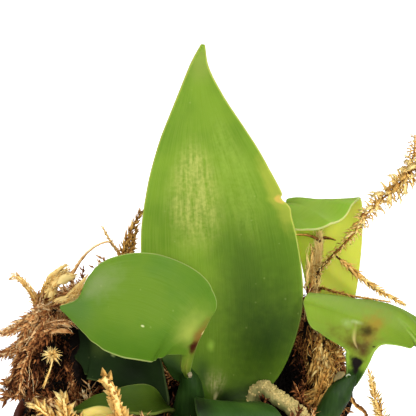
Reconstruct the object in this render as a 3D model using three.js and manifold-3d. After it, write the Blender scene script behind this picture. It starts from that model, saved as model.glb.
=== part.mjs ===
// A potted vanilla orchid: two stems of a young vine with their fleshy leaves, rooted in a plastic
// nursery pot that is filled with dried sphagnum moss.
// Millimetres, +Z up. The origin is the middle of the pot's base, and -Y is the front.

import * as THREE from 'three';
import { mergeVertices } from 'three/addons/utils/BufferGeometryUtils.js';
import Module from 'manifold-3d';

const wasm = await Module();
wasm.setup();

// Gap left between pieces that touch
const clearance = 0.35;
// Detail smaller than this is dropped after pieces are joined or cut
const finest = 0.04;

const pot = {
  height: 85,
  rimRadius: 50,
  bodyRadius: 46.8,
  baseRadius: 36,
  lipHeight: 8,
  wall: 1.7,
  lipWall: 2.4,
  edgeRound: 1,
  floor: 2.5,
  holeRadius: 3.5,
  holeRing: 24,
  holeCount: 8,
  holeSides: 12,
  sides: 32,
};

// The nest of moss. Each mound is a bump on the bed: its middle, how far it spreads and how high it rises.
const bed = {
  level: 86,
  underside: 85.6,
  edge: 45,
  edgeDrop: 0.75,
  edgeHeight: 0.6,
  sides: 40,
  rings: 8,
  lump: 1.3,
  mounds: [
    { at: [-34, 9], spread: 8, rise: 31 },
    { at: [-44, 1], spread: 5, rise: 18 },
    { at: [-25, 27], spread: 9, rise: 27 },
    { at: [-36, -16], spread: 7, rise: 12 },
    { at: [-22, -29], spread: 8, rise: 10 },
    { at: [8, 36], spread: 15, rise: 17 },
    { at: [36, 12], spread: 6, rise: 26 },
    { at: [46, 11], spread: 5, rise: 19 },
    { at: [27, 27], spread: 9, rise: 14 },
    { at: [44, -4], spread: 6, rise: 7 },
    { at: [26, -34], spread: 10, rise: 4 },
  ],
  // How far the moss hangs out over the rim, by compass angle in degrees from +X
  overhang: [
    { towards: 148, width: 26, reach: 7 },
    { towards: 90, width: 40, reach: 6 },
    { towards: 15, width: 28, reach: 7 },
    { towards: -35, width: 20, reach: 3 },
  ],
};

// The short strands that bristle from the bed
const bristles = {
  seed: 21,
  count: 104,
  length: [6, 13],
  radius: [0.75, 0.42],
  sunk: 2,
};

// Stems and roots: points along the middle, and radii spread evenly over the length
const limbs = [
  {
    name: 'stem_left',
    colour: 0x2c4a1b,
    line: [[0, -5, 58], [1.4, -5.6, 76], [2.4, -5, 85], [3.1, -4.4, 92.5], [3.4, -4.2, 99], [3.1, -4.8, 105]],
    radii: [4.2, 5, 5.4, 5.4, 4.6, 4.2, 2.6],
    sides: 12,
    steps: 20,
  },
  {
    name: 'stem_right',
    colour: 0x2e4a18,
    line: [[33, -16, 64], [37.6, -15, 78], [41.9, -12, 88.8], [44.8, -10, 94.6], [47.9, -9, 100],
      [50.2, -7.6, 105]],
    radii: [3, 3.3, 3.4, 3.2, 3.2, 3.4, 2.2],
    sides: 10,
    steps: 18,
  },
  {
    name: 'aerial_root',
    colour: 0x8a8a5c,
    line: [[9.5, -3, 80], [16, -1.5, 86], [22, 0.4, 92.4], [25, -1.4, 94.8], [28, -7, 95.2],
      [33.2, -13.5, 94.6], [37, -18.6, 91.6], [38.4, -22, 82]],
    radii: [1.5, 1.7, 2.2, 2, 2.1, 2.1, 2, 1.8, 1.5],
    sides: 8,
    steps: 20,
  },
];

// Leaves, one row for each station from the foot to the tip: a point on the midrib, the direction across
// the blade to its first margin, the half widths to the two margins, how far the margins curl up (degrees)
// and the thickness at the midrib.
const leaves = [
  {
    name: 'leaf_tall',
    colour: 0x6f9a33,
    columns: 8,
    steps: 22,
    rows: [
      { at: [9.6, 2.8, 80], across: [-1, 0.3, 0], half: 3.2, curl: 75, thick: 3.4 },
      { at: [10.4, 3.4, 88], across: [-1, 0.2, 0], half: 6, curl: 62, thick: 3.2 },
      { at: [12, 4, 95.5], across: [-1, 0, 0], half: [15, 14.6], curl: 36, thick: 2.6 },
      { at: [13, 4.6, 106], across: [-1, 0, 0], half: [20.2, 20], curl: 26, thick: 2.2 },
      { at: [13, 5.6, 119], across: [-1, 0, 0], half: [23, 23.2], curl: 20, thick: 2 },
      { at: [12, 6.6, 132.5], across: [-1, 0, 0], half: [23.2, 23.4], curl: 17, thick: 1.8 },
      { at: [10.7, 7.7, 146.5], across: [-1, 0, 0], half: [21.8, 21.3], curl: 15, thick: 1.7 },
      { at: [9, 8.6, 159.5], across: [-1, 0, 0], half: [18, 16.6], curl: 15, thick: 1.6 },
      { at: [7.4, 9.3, 171], across: [-1, 0, 0], half: [12.9, 11.8], curl: 16, thick: 1.5 },
      { at: [6.2, 9.7, 181.5], across: [-1, 0, 0], half: [7.1, 6.6], curl: 20, thick: 1.4 },
      { at: [5.9, 10, 190], across: [-1, 0, 0], half: [3.1, 2.9], curl: 24, thick: 1.3 },
      { at: [6.9, 10, 196.6], across: [-1, 0, 0], half: 0.6, curl: 0, thick: 1 },
    ],
  },
  {
    name: 'leaf_left',
    colour: 0x739a33,
    columns: 8,
    steps: 18,
    rows: [
      { at: [2, -9, 102.4], across: [-1, 0, 0], half: 1.7, curl: 80, thick: 3 },
      { at: [2, -11.4, 108], across: [-1, 0, 0], half: 2.2, curl: 82, thick: 2.8 },
      { at: [2.4, -13.4, 112.8], across: [-0.95, -0.25, -0.2], half: [2.8, 2.4], curl: 66, thick: 2.5 },
      { at: [1.4, -15.6, 118], across: [-0.88, -0.3, -0.26], half: [7, 5.6], curl: [44, 20], thick: 2.3 },
      { at: [0.3, -16.5, 120.4], across: [-0.82, -0.36, -0.38], half: [9, 12], curl: [38, 20], thick: 2.1 },
      { at: [-1.2, -17.2, 122.6], across: [-0.72, -0.42, -0.5], half: [10.8, 15.4], curl: [32, 20], thick: 2 },
      { at: [-4, -18.1, 125.2], across: [-0.46, -0.55, -0.7], half: [12.6, 16.9], curl: [26, 20], thick: 1.9 },
      { at: [-10.6, -19.4, 129.4], across: [-0.1, -0.55, -0.85], half: [14.4, 16.2], curl: 18, thick: 1.8 },
      { at: [-18.2, -19.6, 131.4], across: [0.05, -0.5, -0.87], half: [13.3, 13.4], curl: 16, thick: 1.7 },
      { at: [-23.4, -19.1, 131.4], across: [0.08, -0.5, -0.87], half: [10.9, 8.4], curl: 18, thick: 1.6 },
      { at: [-27.2, -18.2, 130.5], across: [0.1, -0.5, -0.87], half: [7.4, 1.9], curl: 18, thick: 1.5 },
      { at: [-32.6, -16.6, 128.6], across: [0.1, -0.5, -0.87], half: 0.6, curl: 0, thick: 1 },
    ],
  },
  {
    name: 'leaf_right',
    colour: 0x84a93b,
    columns: 8,
    steps: 20,
    rows: [
      { at: [50.2, -11.2, 101], across: [-1, 0, 0.1], half: 2.4, curl: 78, thick: 3 },
      { at: [50.6, -11, 106], across: [-1, 0, 0.1], half: [3.4, 2.4], curl: 82, thick: 2.8 },
      { at: [51.6, -10.4, 109.6], across: [-1, 0, 0.1], half: [5.2, 3.2], curl: 74, thick: 2.6 },
      { at: [52.2, -10, 111.6], across: [-1, 0, 0.1], half: [6.2, 3.4], curl: [62, 66], thick: 2.5 },
      { at: [52.7, -9.4, 113.2], across: [-1, 0, 0], half: [13.8, 4], curl: [8, 50], thick: 2.4 },
      { at: [53.4, -8.2, 115], across: [-0.99, -0.05, -0.09], half: [17.8, 6], curl: [-4, 16], thick: 2.2 },
      { at: [55, -5.2, 117.8], across: [-0.98, -0.06, 0.06], half: [20.4, 11.2], curl: [-8, -44], thick: 1.9 },
      { at: [57, 0, 120.7], across: [-0.98, -0.12, 0.25], half: [19.6, 15.8], curl: [-28, -48], thick: 1.8 },
      { at: [59, 8, 117.8], across: [-0.98, 0, 0.2], half: [18, 14], curl: [-26, -46], thick: 1.7 },
      { at: [62.4, 16.6, 111.4], across: [-0.99, 0, 0.14], half: [15.2, 11], curl: [-4, -28], thick: 1.6 },
      { at: [66.6, 25, 104.6], across: [-0.99, 0, 0.14], half: [8.6, 7.4], curl: 0, thick: 1.5 },
      { at: [70, 32, 97.4], across: [-0.99, 0, 0.14], half: 0.6, curl: 0, thick: 1 },
    ],
  },
  {
    name: 'leaf_back',
    colour: 0x9bb244,
    columns: 6,
    steps: 22,
    rows: [
      { at: [37.5, 18, 76], across: [1, 0.2, 0], half: 2.2, curl: 50, thick: 3 },
      { at: [41, 20, 88], across: [1, 0.2, 0], half: 2.6, curl: 60, thick: 2.8 },
      { at: [45, 23, 99], across: [1, 0, 0], half: 4.4, curl: 50, thick: 2.4 },
      { at: [47, 27, 110.5], across: [1, 0, 0], half: [6.6, 8], curl: 26, thick: 2 },
      { at: [46.4, 29.6, 122], across: [1, 0, 0], half: [8.8, 9.6], curl: 14, thick: 1.8 },
      { at: [45.4, 30, 132.6], across: [1, 0, 0], half: [10.2, 11.2], curl: 10, thick: 1.7 },
      { at: [44, 28.6, 140.4], across: [1, 0, -0.06], half: [10.8, 11.4], curl: [6, -6], thick: 1.7 },
      { at: [41.4, 24.6, 143.9], across: [1, 0, 0], half: 11.4, curl: [-6, -24], thick: 1.6 },
      { at: [37.6, 20.2, 143], across: [1, 0, 0], half: [9.4, 9], curl: [4, -46], thick: 1.6 },
      { at: [33.8, 17, 141.3], across: [1, 0, 0], half: 5.6, curl: [6, -32], thick: 1.4 },
      { at: [30.2, 14.4, 139.8], across: [1, 0, 0], half: 0.6, curl: 0, thick: 1 },
    ],
  },
  {
    name: 'leaf_low',
    colour: 0x56662a,
    columns: 6,
    steps: 12,
    rows: [
      { at: [-3.4, -8, 91.4], across: [0.6, -0.8, 0], half: 2.4, curl: 70, thick: 2.8 },
      { at: [-6.4, -11.6, 95.4], across: [0.3, -0.95, 0], half: 6, curl: 40, thick: 2.4 },
      { at: [-11, -15, 98], across: [0.1, -1, 0.04], half: 8.4, curl: 18, thick: 2 },
      { at: [-17.4, -18, 99], across: [0, -1, 0.12], half: [8, 7.4], curl: 10, thick: 1.7 },
      { at: [-24.2, -19.4, 99.6], across: [0, -1, 0.14], half: 5, curl: 10, thick: 1.5 },
      { at: [-31, -19.6, 97.2], across: [0, -1, 0.1], half: 0.6, curl: 0, thick: 1 },
    ],
  },
  {
    name: 'leaf_shaded',
    colour: 0x23331a,
    columns: 6,
    steps: 14,
    rows: [
      { at: [-4.6, 1, 84], across: [-0.6, -0.6, -0.5], half: [2.2, 2.2], curl: 70, thick: 2.8 },
      { at: [-8, 4.4, 91], across: [-0.4, -0.6, -0.7], half: [4.6, 4.6], curl: 46, thick: 2.4 },
      { at: [-13, 7, 97], across: [-0.2, -0.6, -0.8], half: [8.6, 8.4], curl: 24, thick: 2 },
      { at: [-19.5, 8.4, 102], across: [0, -0.5, -0.86], half: [10.4, 9.6], curl: 14, thick: 1.7 },
      { at: [-26, 8, 105.6], across: [0.1, -0.5, -0.86], half: [7.6, 6.4], curl: 14, thick: 1.5 },
      { at: [-31.4, 6.6, 107.4], across: [0.1, -0.5, -0.86], half: [0.7, 0.6], curl: 0, thick: 1 },
    ],
  },
  {
    name: 'leaf_front',
    colour: 0x3c6424,
    columns: 6,
    steps: 16,
    rows: [
      { at: [9.8, -8.6, 84], across: [1, 0.3, 0], half: 2.4, curl: 76, thick: 3 },
      { at: [11.6, -11.8, 91.6], across: [1, 0.2, 0], half: 4.6, curl: 52, thick: 2.6 },
      { at: [13.8, -16.6, 98], across: [1, 0.1, -0.12], half: [8.6, 9.8], curl: 18, thick: 2.2 },
      { at: [16.6, -24.6, 101], across: [1, 0.1, -0.14], half: [10.8, 12.6], curl: 6, thick: 1.9 },
      { at: [18.8, -33.5, 100.4], across: [1, 0.1, -0.12], half: [11, 12.6], curl: 4, thick: 1.8 },
      { at: [20.6, -42.2, 97], across: [1, 0.1, -0.08], half: [9.4, 10.2], curl: 6, thick: 1.6 },
      { at: [21.8, -50, 90.4], across: [1, 0.1, 0], half: 6, curl: 10, thick: 1.5 },
      { at: [22.4, -55.5, 82], across: [1, 0.1, 0], half: 0.6, curl: 0, thick: 1 },
    ],
  },
  {
    name: 'leaf_dry',
    colour: 0xc3aa4e,
    columns: 6,
    steps: 8,
    rows: [
      { at: [-12, -28, 90], across: [0.1, -0.7, 0.7], half: 2.6, curl: 95, thick: 1.2 },
      { at: [-16.6, -29, 99], across: [0.1, -0.7, 0.7], half: 3, curl: 110, thick: 1 },
      { at: [-21, -29.6, 102], across: [0, -0.7, 0.7], half: 3.2, curl: 115, thick: 1 },
      { at: [-26, -29.4, 101.4], across: [0, -0.7, 0.7], half: 2.4, curl: 110, thick: 1 },
    ],
  },
];

// The longer moss strands. The leaflets of a stem stand round it from a share of its length on.
const strands = [
  {
    name: 'strand_right',
    seed: 5,
    stems: [
      {
        line: [[34.6, 20.6, 96], [39, 22.4, 110], [41, 22.8, 122], [41.4, 23, 128], [42.4, 23, 134.6]],
        radii: [1.5, 1],
        leaflets: { from: 0.35, every: 2.4, length: 3.4, lean: 22 },
      },
      { line: [[41.6, 22.8, 132], [44, 22.4, 133], [46.6, 22, 132.6]], radii: [0.7, 0.4] },
      { line: [[41.4, 22.8, 130], [39, 22.4, 133.2], [35.6, 22, 134.4]], radii: [0.7, 0.45] },
      {
        line: [[41, 22.8, 116], [42.8, 20.8, 119], [45.4, 18.4, 119.6], [48.6, 16.4, 119.8], [52, 15, 119.4],
          [57, 14.4, 119], [62, 14, 118]],
        radii: [0.9, 0.45],
        leaflets: { from: 0.3, every: 2.8, length: 3.2, lean: 24 },
      },
      {
        line: [[41, 22.8, 118], [41.2, 20, 122.8], [44.6, 16.8, 128.6], [48.9, 16.4, 133.7], [52.4, 16, 139],
          [57.9, 15, 147.2], [65.1, 13, 155.8], [70.6, 11.2, 162]],
        radii: [1.1, 0.7],
        leaflets: { from: 0.1, every: 2.6, length: 4, lean: 48 },
      },
      {
        line: [[46, 16.2, 129.6], [50, 15.4, 124.4], [53.4, 15, 120.8], [57.6, 14, 117.6], [64.2, 12.4, 114]],
        radii: [0.8, 0.45],
        leaflets: { from: 0.1, every: 2.6, length: 4, lean: 48 },
      },
    ],
  },
  {
    name: 'strand_right_front',
    seed: 8,
    stems: [
      {
        line: [[37, -19.4, 84], [42, -21.6, 88.8], [49, -23, 89.6], [54.6, -20.8, 88], [57.2, -18.6, 91.4],
          [56.8, -18, 98], [54.6, -18, 108.4]],
        radii: [0.9, 0.5],
        leaflets: { from: 0.5, every: 2.6, length: 3.6, lean: 30 },
      },
    ],
  },
  {
    name: 'strand_back_left',
    seed: 11,
    stems: [
      {
        line: [[-17, 24, 96], [-17.4, 21, 120], [-16, 19, 133], [-13.4, 18.5, 139.4], [-10.8, 18, 144.8]],
        radii: [1, 0.5],
        leaflets: { from: 0.6, every: 2.6, length: 3.8, lean: 34 },
      },
      {
        line: [[-17, 20, 126], [-17.6, 19.5, 132.6], [-19.6, 19, 136.4], [-22.2, 18.5, 140.8]],
        radii: [0.8, 0.45],
        leaflets: { from: 0.2, every: 2.6, length: 3.8, lean: 34 },
      },
    ],
  },
  {
    name: 'strand_left_hook',
    seed: 14,
    stems: [
      {
        line: [[-35, 2, 98], [-38.4, -2, 110], [-40.6, -3, 120], [-41.2, -3, 124.6], [-43.6, -3, 128.6],
          [-46.6, -3, 131.6], [-48.6, -3, 130.6]],
        radii: [0.9, 0.5],
        leaflets: { from: 0.56, every: 3, length: 2.2, lean: 40 },
      },
    ],
  },
  {
    name: 'strand_left_low',
    seed: 17,
    stems: [
      {
        line: [[-30, -2, 100], [-33.6, -4, 115], [-37.6, -5, 120.4], [-42, -6, 119.4], [-46.6, -7, 117.4],
          [-51.4, -8, 116.4]],
        radii: [0.9, 0.45],
        leaflets: { from: 0.46, every: 2.6, length: 3.2, lean: 36 },
      },
    ],
  },
  {
    name: 'strand_left_star',
    seed: 19,
    stems: [
      {
        line: [[-34, -9, 90], [-37.4, -11, 101], [-35.8, -11, 108], [-34.8, -11, 113.6]],
        radii: [1, 0.8],
        leaflets: { from: 0.93, every: 0.45, length: 3.6, lean: 80 },
      },
    ],
  },
  {
    name: 'strand_front',
    seed: 23,
    stems: [
      {
        line: [[-16.6, -33, 86], [-18, -34, 98], [-17.6, -34, 106], [-17.2, -34, 112], [-18.4, -34, 118]],
        radii: [1.2, 0.7],
        leaflets: { from: 0.5, every: 2.1, length: 4, lean: 38 },
      },
    ],
  },
];

function seededRandom(seed) {
  let state = seed;
  return () => {
    state = (state * 1664525 + 1013904223) % 4294967296;
    return state / 4294967296;
  };
}

function vector(point) {
  return new THREE.Vector3(...point);
}

// A value that is the same on both sides may be given once
function pair(value) {
  return Array.isArray(value) ? value : [value, value];
}

function curveThrough(points) {
  return new THREE.CatmullRomCurve3(points, false, 'catmullrom', 0.5);
}

// Value at share t of a list that is spread evenly from 0 to 1
function blend(values, t) {
  const place = t * (values.length - 1);
  const first = Math.min(Math.floor(place), values.length - 2);
  return THREE.MathUtils.lerp(values[first], values[first + 1], place - first);
}

// Triangles of a closed body skinned over rings of points, with a flat cap on each end. In the second half
// of a ring the diagonals run the other way, so both faces of a thin blade are split alike.
function skinIndices(ringCount, ringSize) {
  const indices = [];
  const cap = (ring, forward) => {
    const base = ring * ringSize;
    let low = 0;
    let high = ringSize - 1;
    const add = (a, b, c) => indices.push(base + a, base + (forward ? b : c), base + (forward ? c : b));
    while (high - low > 1) {
      add(low, low + 1, high);
      low += 1;
      if (high - low > 1) {
        add(low, high - 1, high);
        high -= 1;
      }
    }
  };
  cap(0, true);
  cap(ringCount - 1, false);
  for (let ring = 0; ring < ringCount - 1; ring += 1) {
    for (let k = 0; k < ringSize; k += 1) {
      const a = ring * ringSize + k;
      const b = ring * ringSize + (k + 1) % ringSize;
      const c = b + ringSize;
      const d = a + ringSize;
      if (k < ringSize / 2) {
        indices.push(a, c, b, a, d, c);
      } else {
        indices.push(a, d, b, b, d, c);
      }
    }
  }
  return indices;
}

function signedVolume(positions, indices) {
  const corner = (k) => new THREE.Vector3().fromArray(positions, 3 * indices[k]);
  let sum = 0;
  for (let k = 0; k < indices.length; k += 3) {
    sum += corner(k).dot(corner(k + 1).cross(corner(k + 2))) / 6;
  }
  return sum;
}

// A solid skinned over rings, turned right side out whichever way the rings wind
function skinSolid(rings) {
  const positions = rings.flat().flatMap((point) => point.toArray());
  const indices = skinIndices(rings.length, rings[0].length);
  if (signedVolume(positions, indices) < 0) {
    indices.reverse();
  }
  return solidOf(positions, indices);
}

function solidOf(positions, indices) {
  const mesh = new wasm.Mesh({
    numProp: 3,
    vertProperties: Float32Array.from(positions),
    triVerts: Uint32Array.from(indices),
  });
  return new wasm.Manifold(mesh);
}

function solidOfGeometry(geometry) {
  const plain = geometry.clone();
  plain.deleteAttribute('normal');
  plain.deleteAttribute('uv');
  const welded = mergeVertices(plain);
  return solidOf(welded.attributes.position.array, welded.index.array);
}

// Joined or cut solids can leave loose scraps, so only the largest body is kept
function largestBody(solid) {
  const bodies = solid.simplify(finest).decompose();
  return bodies.sort((a, b) => b.volume() - a.volume())[0];
}

function geometryOf(solid) {
  const { vertProperties, triVerts } = solid.getMesh();
  const geometry = new THREE.BufferGeometry();
  geometry.setAttribute('position', new THREE.BufferAttribute(vertProperties, 3));
  geometry.setIndex(new THREE.BufferAttribute(triVerts, 1));
  geometry.computeVertexNormals();
  return geometry;
}

function turnedAboutZ(profile, sides) {
  const geometry = new THREE.LatheGeometry(profile.map(([radius, z]) => new THREE.Vector2(radius, z)), sides);
  geometry.rotateX(Math.PI / 2);
  return solidOfGeometry(geometry);
}

// The pot's section, from the middle of its underside round the lip and back to the middle of its floor
function potSection() {
  const { height, rimRadius, bodyRadius, baseRadius, lipHeight, wall, lipWall, edgeRound, floor } = pot;
  const shoulder = height - lipHeight;
  return [
    [0, 0],
    [baseRadius - edgeRound, 0],
    [baseRadius, edgeRound],
    [bodyRadius, shoulder],
    [rimRadius - edgeRound, shoulder],
    [rimRadius, shoulder + edgeRound],
    [rimRadius, height - edgeRound],
    [rimRadius - edgeRound, height],
    [rimRadius - lipWall + edgeRound / 2, height],
    [rimRadius - lipWall, height - edgeRound / 2],
    [bodyRadius - wall, shoulder - edgeRound],
    [baseRadius - wall, floor],
    [0, floor],
  ];
}

function makePot() {
  let shell = turnedAboutZ(potSection(), pot.sides);
  for (let k = 0; k < pot.holeCount; k += 1) {
    const angle = (k + 0.5) * 2 * Math.PI / pot.holeCount;
    const hole = new THREE.CylinderGeometry(pot.holeRadius, pot.holeRadius, 3 * pot.floor, pot.holeSides);
    hole.rotateX(Math.PI / 2);
    hole.translate(pot.holeRing * Math.cos(angle), pot.holeRing * Math.sin(angle), pot.floor / 2);
    shell = shell.subtract(solidOfGeometry(hole));
  }
  return largestBody(shell);
}

// Moves the two end rings outwards, each away from the ring beside it
function lengthen(rings, extra) {
  const last = rings.length - 1;
  for (const [end, next] of [[0, 1], [last, last - 1]]) {
    const away = middleOf(rings[end]).sub(middleOf(rings[next])).setLength(extra);
    rings[end].forEach((point) => point.add(away));
  }
}

function middleOf(ring) {
  const sum = new THREE.Vector3();
  ring.forEach((point) => sum.add(point));
  return sum.divideScalar(ring.length);
}

// A round limb along a smooth line, its radius blended over the length
function limbSolid({ line, radii, sides, steps }, extra = 0) {
  const curve = new THREE.CatmullRomCurve3(line.map(vector));
  const frames = curve.computeFrenetFrames(steps, false);
  const rings = [];
  for (let step = 0; step <= steps; step += 1) {
    const centre = curve.getPointAt(step / steps);
    const radius = blend(radii, step / steps) + extra;
    const ring = [];
    for (let k = 0; k < sides; k += 1) {
      const angle = 2 * Math.PI * k / sides;
      ring.push(centre.clone()
        .addScaledVector(frames.normals[step], radius * Math.cos(angle))
        .addScaledVector(frames.binormals[step], radius * Math.sin(angle)));
    }
    rings.push(ring);
  }
  lengthen(rings, extra);
  return skinSolid(rings);
}

// A leaf blade on its petiole. Each cross-section is an arc that starts square to the midrib's normal and
// curls towards the margins, thick at the midrib and thin at the edge.
function leafSolid({ rows, columns, steps }, extra = 0) {
  const midrib = curveThrough(rows.map((row) => vector(row.at)));
  const crossing = curveThrough(rows.map((row) => vector(row.across)));
  const widths = curveThrough(rows.map((row) => new THREE.Vector3(...pair(row.half), row.thick)));
  const curls = curveThrough(rows.map((row) => new THREE.Vector3(...pair(row.curl), 0)));
  const edgeThickness = 0.7;
  const leastHalf = 0.5;
  const straight = 0.001;
  const rings = [];
  for (let step = 0; step <= steps; step += 1) {
    const t = step / steps;
    const centre = midrib.getPoint(t);
    const tangent = midrib.getTangent(t);
    const side = crossing.getPoint(t);
    side.addScaledVector(tangent, -side.dot(tangent)).normalize();
    const normal = new THREE.Vector3().crossVectors(tangent, side);
    const shape = widths.getPoint(t);
    const curl = curls.getPoint(t);
    const upper = [];
    const lower = [];
    for (let k = 0; k <= columns; k += 1) {
      const v = 1 - 2 * k / columns;
      const half = Math.max(v > 0 ? shape.x : shape.y, leastHalf) + extra;
      const bend = THREE.MathUtils.degToRad(v > 0 ? curl.x : curl.y) || straight;
      const out = half * Math.sin(bend * v) / bend;
      const rise = half * (1 - Math.cos(bend * v)) / bend;
      const thickness = THREE.MathUtils.lerp(edgeThickness, shape.z, 1 - v * v) + 2 * extra;
      const middle = centre.clone().addScaledVector(side, out).addScaledVector(normal, rise);
      const face = normal.clone().multiplyScalar(Math.cos(bend * v)).addScaledVector(side, -Math.sin(bend * v));
      upper.push(middle.clone().addScaledVector(face, thickness / 2));
      lower.unshift(middle.clone().addScaledVector(face, -thickness / 2));
    }
    rings.push([...upper, ...lower]);
  }
  lengthen(rings, extra);
  return skinSolid(rings);
}

// A three-sided spike from its sunken root to its tip, its middle lifted off the straight line
function spikeSolid(root, tip, radii, lift) {
  const middle = root.clone().lerp(tip, 0.55);
  middle.z += lift;
  return limbSolid({ line: [root.toArray(), middle.toArray(), tip.toArray()], radii, sides: 3, steps: 2 });
}

// A leaflet: a slim three-sided point whose foot is sunk in the strand
function leafletSolid(foot, tip, radius) {
  const along = tip.clone().sub(foot).normalize();
  const sideways = new THREE.Vector3(-along.y, along.x, 0.3).cross(along).normalize();
  const other = new THREE.Vector3().crossVectors(along, sideways);
  const positions = tip.toArray();
  for (let k = 0; k < 3; k += 1) {
    const angle = 2 * Math.PI * k / 3;
    positions.push(...foot.clone()
      .addScaledVector(sideways, radius * Math.cos(angle))
      .addScaledVector(other, radius * Math.sin(angle))
      .toArray());
  }
  return solidOf(positions, [0, 1, 2, 0, 2, 3, 0, 3, 1, 1, 3, 2]);
}

// Pairs of leaflets along a stem, each pair turned at random about it
function leafletSolids(curve, { from, every, length, lean }, random) {
  const whole = curve.getLength();
  const footRadius = 0.55;
  const solids = [];
  for (let along = from * whole; along < whole; along += every) {
    const foot = curve.getPointAt(along / whole);
    const forward = curve.getTangentAt(along / whole);
    const turn = random() * 2 * Math.PI;
    const sideways = new THREE.Vector3(Math.cos(turn), Math.sin(turn), random() - 0.5);
    sideways.addScaledVector(forward, -sideways.dot(forward)).normalize();
    const angle = THREE.MathUtils.degToRad(lean * (0.8 + 0.4 * random()));
    for (const hand of [1, -1]) {
      const tip = foot.clone()
        .addScaledVector(forward, length * Math.cos(angle))
        .addScaledVector(sideways, hand * length * Math.sin(angle));
      solids.push(leafletSolid(foot, tip, footRadius));
    }
  }
  return solids;
}

function strandSolid({ seed, stems }) {
  const random = seededRandom(seed);
  const stepLength = 3.2;
  const parts = [];
  for (const stem of stems) {
    const curve = new THREE.CatmullRomCurve3(stem.line.map(vector));
    const steps = Math.max(4, Math.round(curve.getLength() / stepLength));
    parts.push(limbSolid({ ...stem, sides: 4, steps }));
    if (stem.leaflets) {
      parts.push(...leafletSolids(curve, stem.leaflets, random));
    }
  }
  return wasm.Manifold.union(parts);
}

// The room that a stem takes in the bed: a slim hole round its root and a wide one round its leafy part
function stemRoomInBed({ line, leaflets }) {
  const slim = 1.6;
  const steps = 16;
  const radii = [];
  for (let step = 0; step <= steps; step += 1) {
    const leafy = leaflets && step / steps >= leaflets.from - 0.08;
    radii.push(leafy ? leaflets.length + clearance : slim);
  }
  return limbSolid({ line, radii, sides: 8, steps }, clearance);
}

function angleBetween(first, second) {
  const turn = Math.abs(first - second) % 360;
  return Math.min(turn, 360 - turn);
}

function mossHeight(x, y) {
  let height = bed.level;
  for (const { at, spread, rise } of bed.mounds) {
    const distance = Math.hypot(x - at[0], y - at[1]);
    height += rise * Math.exp(-distance * distance / (2 * spread * spread));
  }
  const lumps = Math.sin(0.55 * x + 1.3) * Math.cos(0.48 * y) + 0.6 * Math.sin(0.9 * y + 0.5 * x);
  return height + bed.lump * lumps;
}

function mossReach(angle) {
  let reach = bed.edge;
  for (const { towards, width, reach: out } of bed.overhang) {
    const away = angleBetween(angle, towards) / width;
    reach += out * Math.exp(-away * away);
  }
  return reach + 0.9 * Math.sin(THREE.MathUtils.degToRad(angle * 7));
}

// The heaped moss above the rim: a height field over a round plan, lower at its edge, with a level underside
function mossHeap() {
  const rings = [];
  for (let ring = 0; ring <= bed.rings; ring += 1) {
    const share = Math.max(ring / bed.rings, 0.02);
    const points = [];
    for (let k = 0; k < bed.sides; k += 1) {
      const angle = 360 * k / bed.sides;
      const x = mossReach(angle) * share * Math.cos(THREE.MathUtils.degToRad(angle));
      const y = mossReach(angle) * share * Math.sin(THREE.MathUtils.degToRad(angle));
      const rise = (mossHeight(x, y) - bed.underside) * (1 - bed.edgeDrop * share ** 8);
      points.push(new THREE.Vector3(x, y, bed.underside + Math.max(bed.edgeHeight, rise)));
    }
    rings.push(points);
  }
  const tuck = 0.97;
  rings.push(rings[bed.rings].map(({ x, y }) => new THREE.Vector3(tuck * x, tuck * y, bed.underside)));
  return skinSolid(rings);
}

// The moss packed inside the pot, clear of its wall, up to just inside the heap
function mossFill() {
  const { height, rimRadius, bodyRadius, baseRadius, lipHeight, wall, lipWall, floor } = pot;
  const inside = wall + clearance;
  const neck = rimRadius - lipWall - 2 * clearance;
  const top = bed.level + 1;
  return turnedAboutZ([
    [0, floor + clearance],
    [baseRadius - inside - 0.2, floor + clearance],
    [bodyRadius - inside - 0.1, height - lipHeight - 1],
    [neck, height - 1],
    [neck - 0.4, height + 1.2],
    [neck - 3, top],
    [0, top],
  ], bed.sides);
}

function mossBristles() {
  const { seed, count, length, radius, sunk } = bristles;
  const random = seededRandom(seed);
  const overRim = pot.height + 1.5;
  const spikes = [];
  while (spikes.length < count) {
    const angle = 360 * random();
    const share = Math.sqrt(0.08 + 0.88 * random());
    const heading = THREE.MathUtils.degToRad(angle);
    const outward = new THREE.Vector3(Math.cos(heading), Math.sin(heading), 0);
    const root = outward.clone().multiplyScalar(mossReach(angle) * share);
    root.z = mossHeight(root.x, root.y) - sunk;
    if (share > 0.86) {
      root.set(0.95 * root.x, 0.95 * root.y, Math.max(overRim + 0.7, root.z - 3));
    }
    const reach = THREE.MathUtils.lerp(...length, random()) + sunk;
    const turn = 2 * Math.PI * random();
    const direction = new THREE.Vector3(0.8 * Math.cos(turn), 0.8 * Math.sin(turn), 0.55 + 0.5 * random())
      .addScaledVector(outward, 0.7 * share)
      .normalize();
    const tip = root.clone().addScaledVector(direction, reach);
    tip.z = Math.max(tip.z, overRim);
    spikes.push(spikeSolid(root, tip, radius, 1.2 * (random() - 0.3)));
  }
  return wasm.Manifold.union(spikes);
}

const assembly = new THREE.Group();

function addMesh(name, solid, colour, roughness = 0.6) {
  const material = new THREE.MeshStandardMaterial({ color: colour, roughness, metalness: 0 });
  const mesh = new THREE.Mesh(geometryOf(solid), material);
  mesh.name = name;
  assembly.add(mesh);
}

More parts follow.
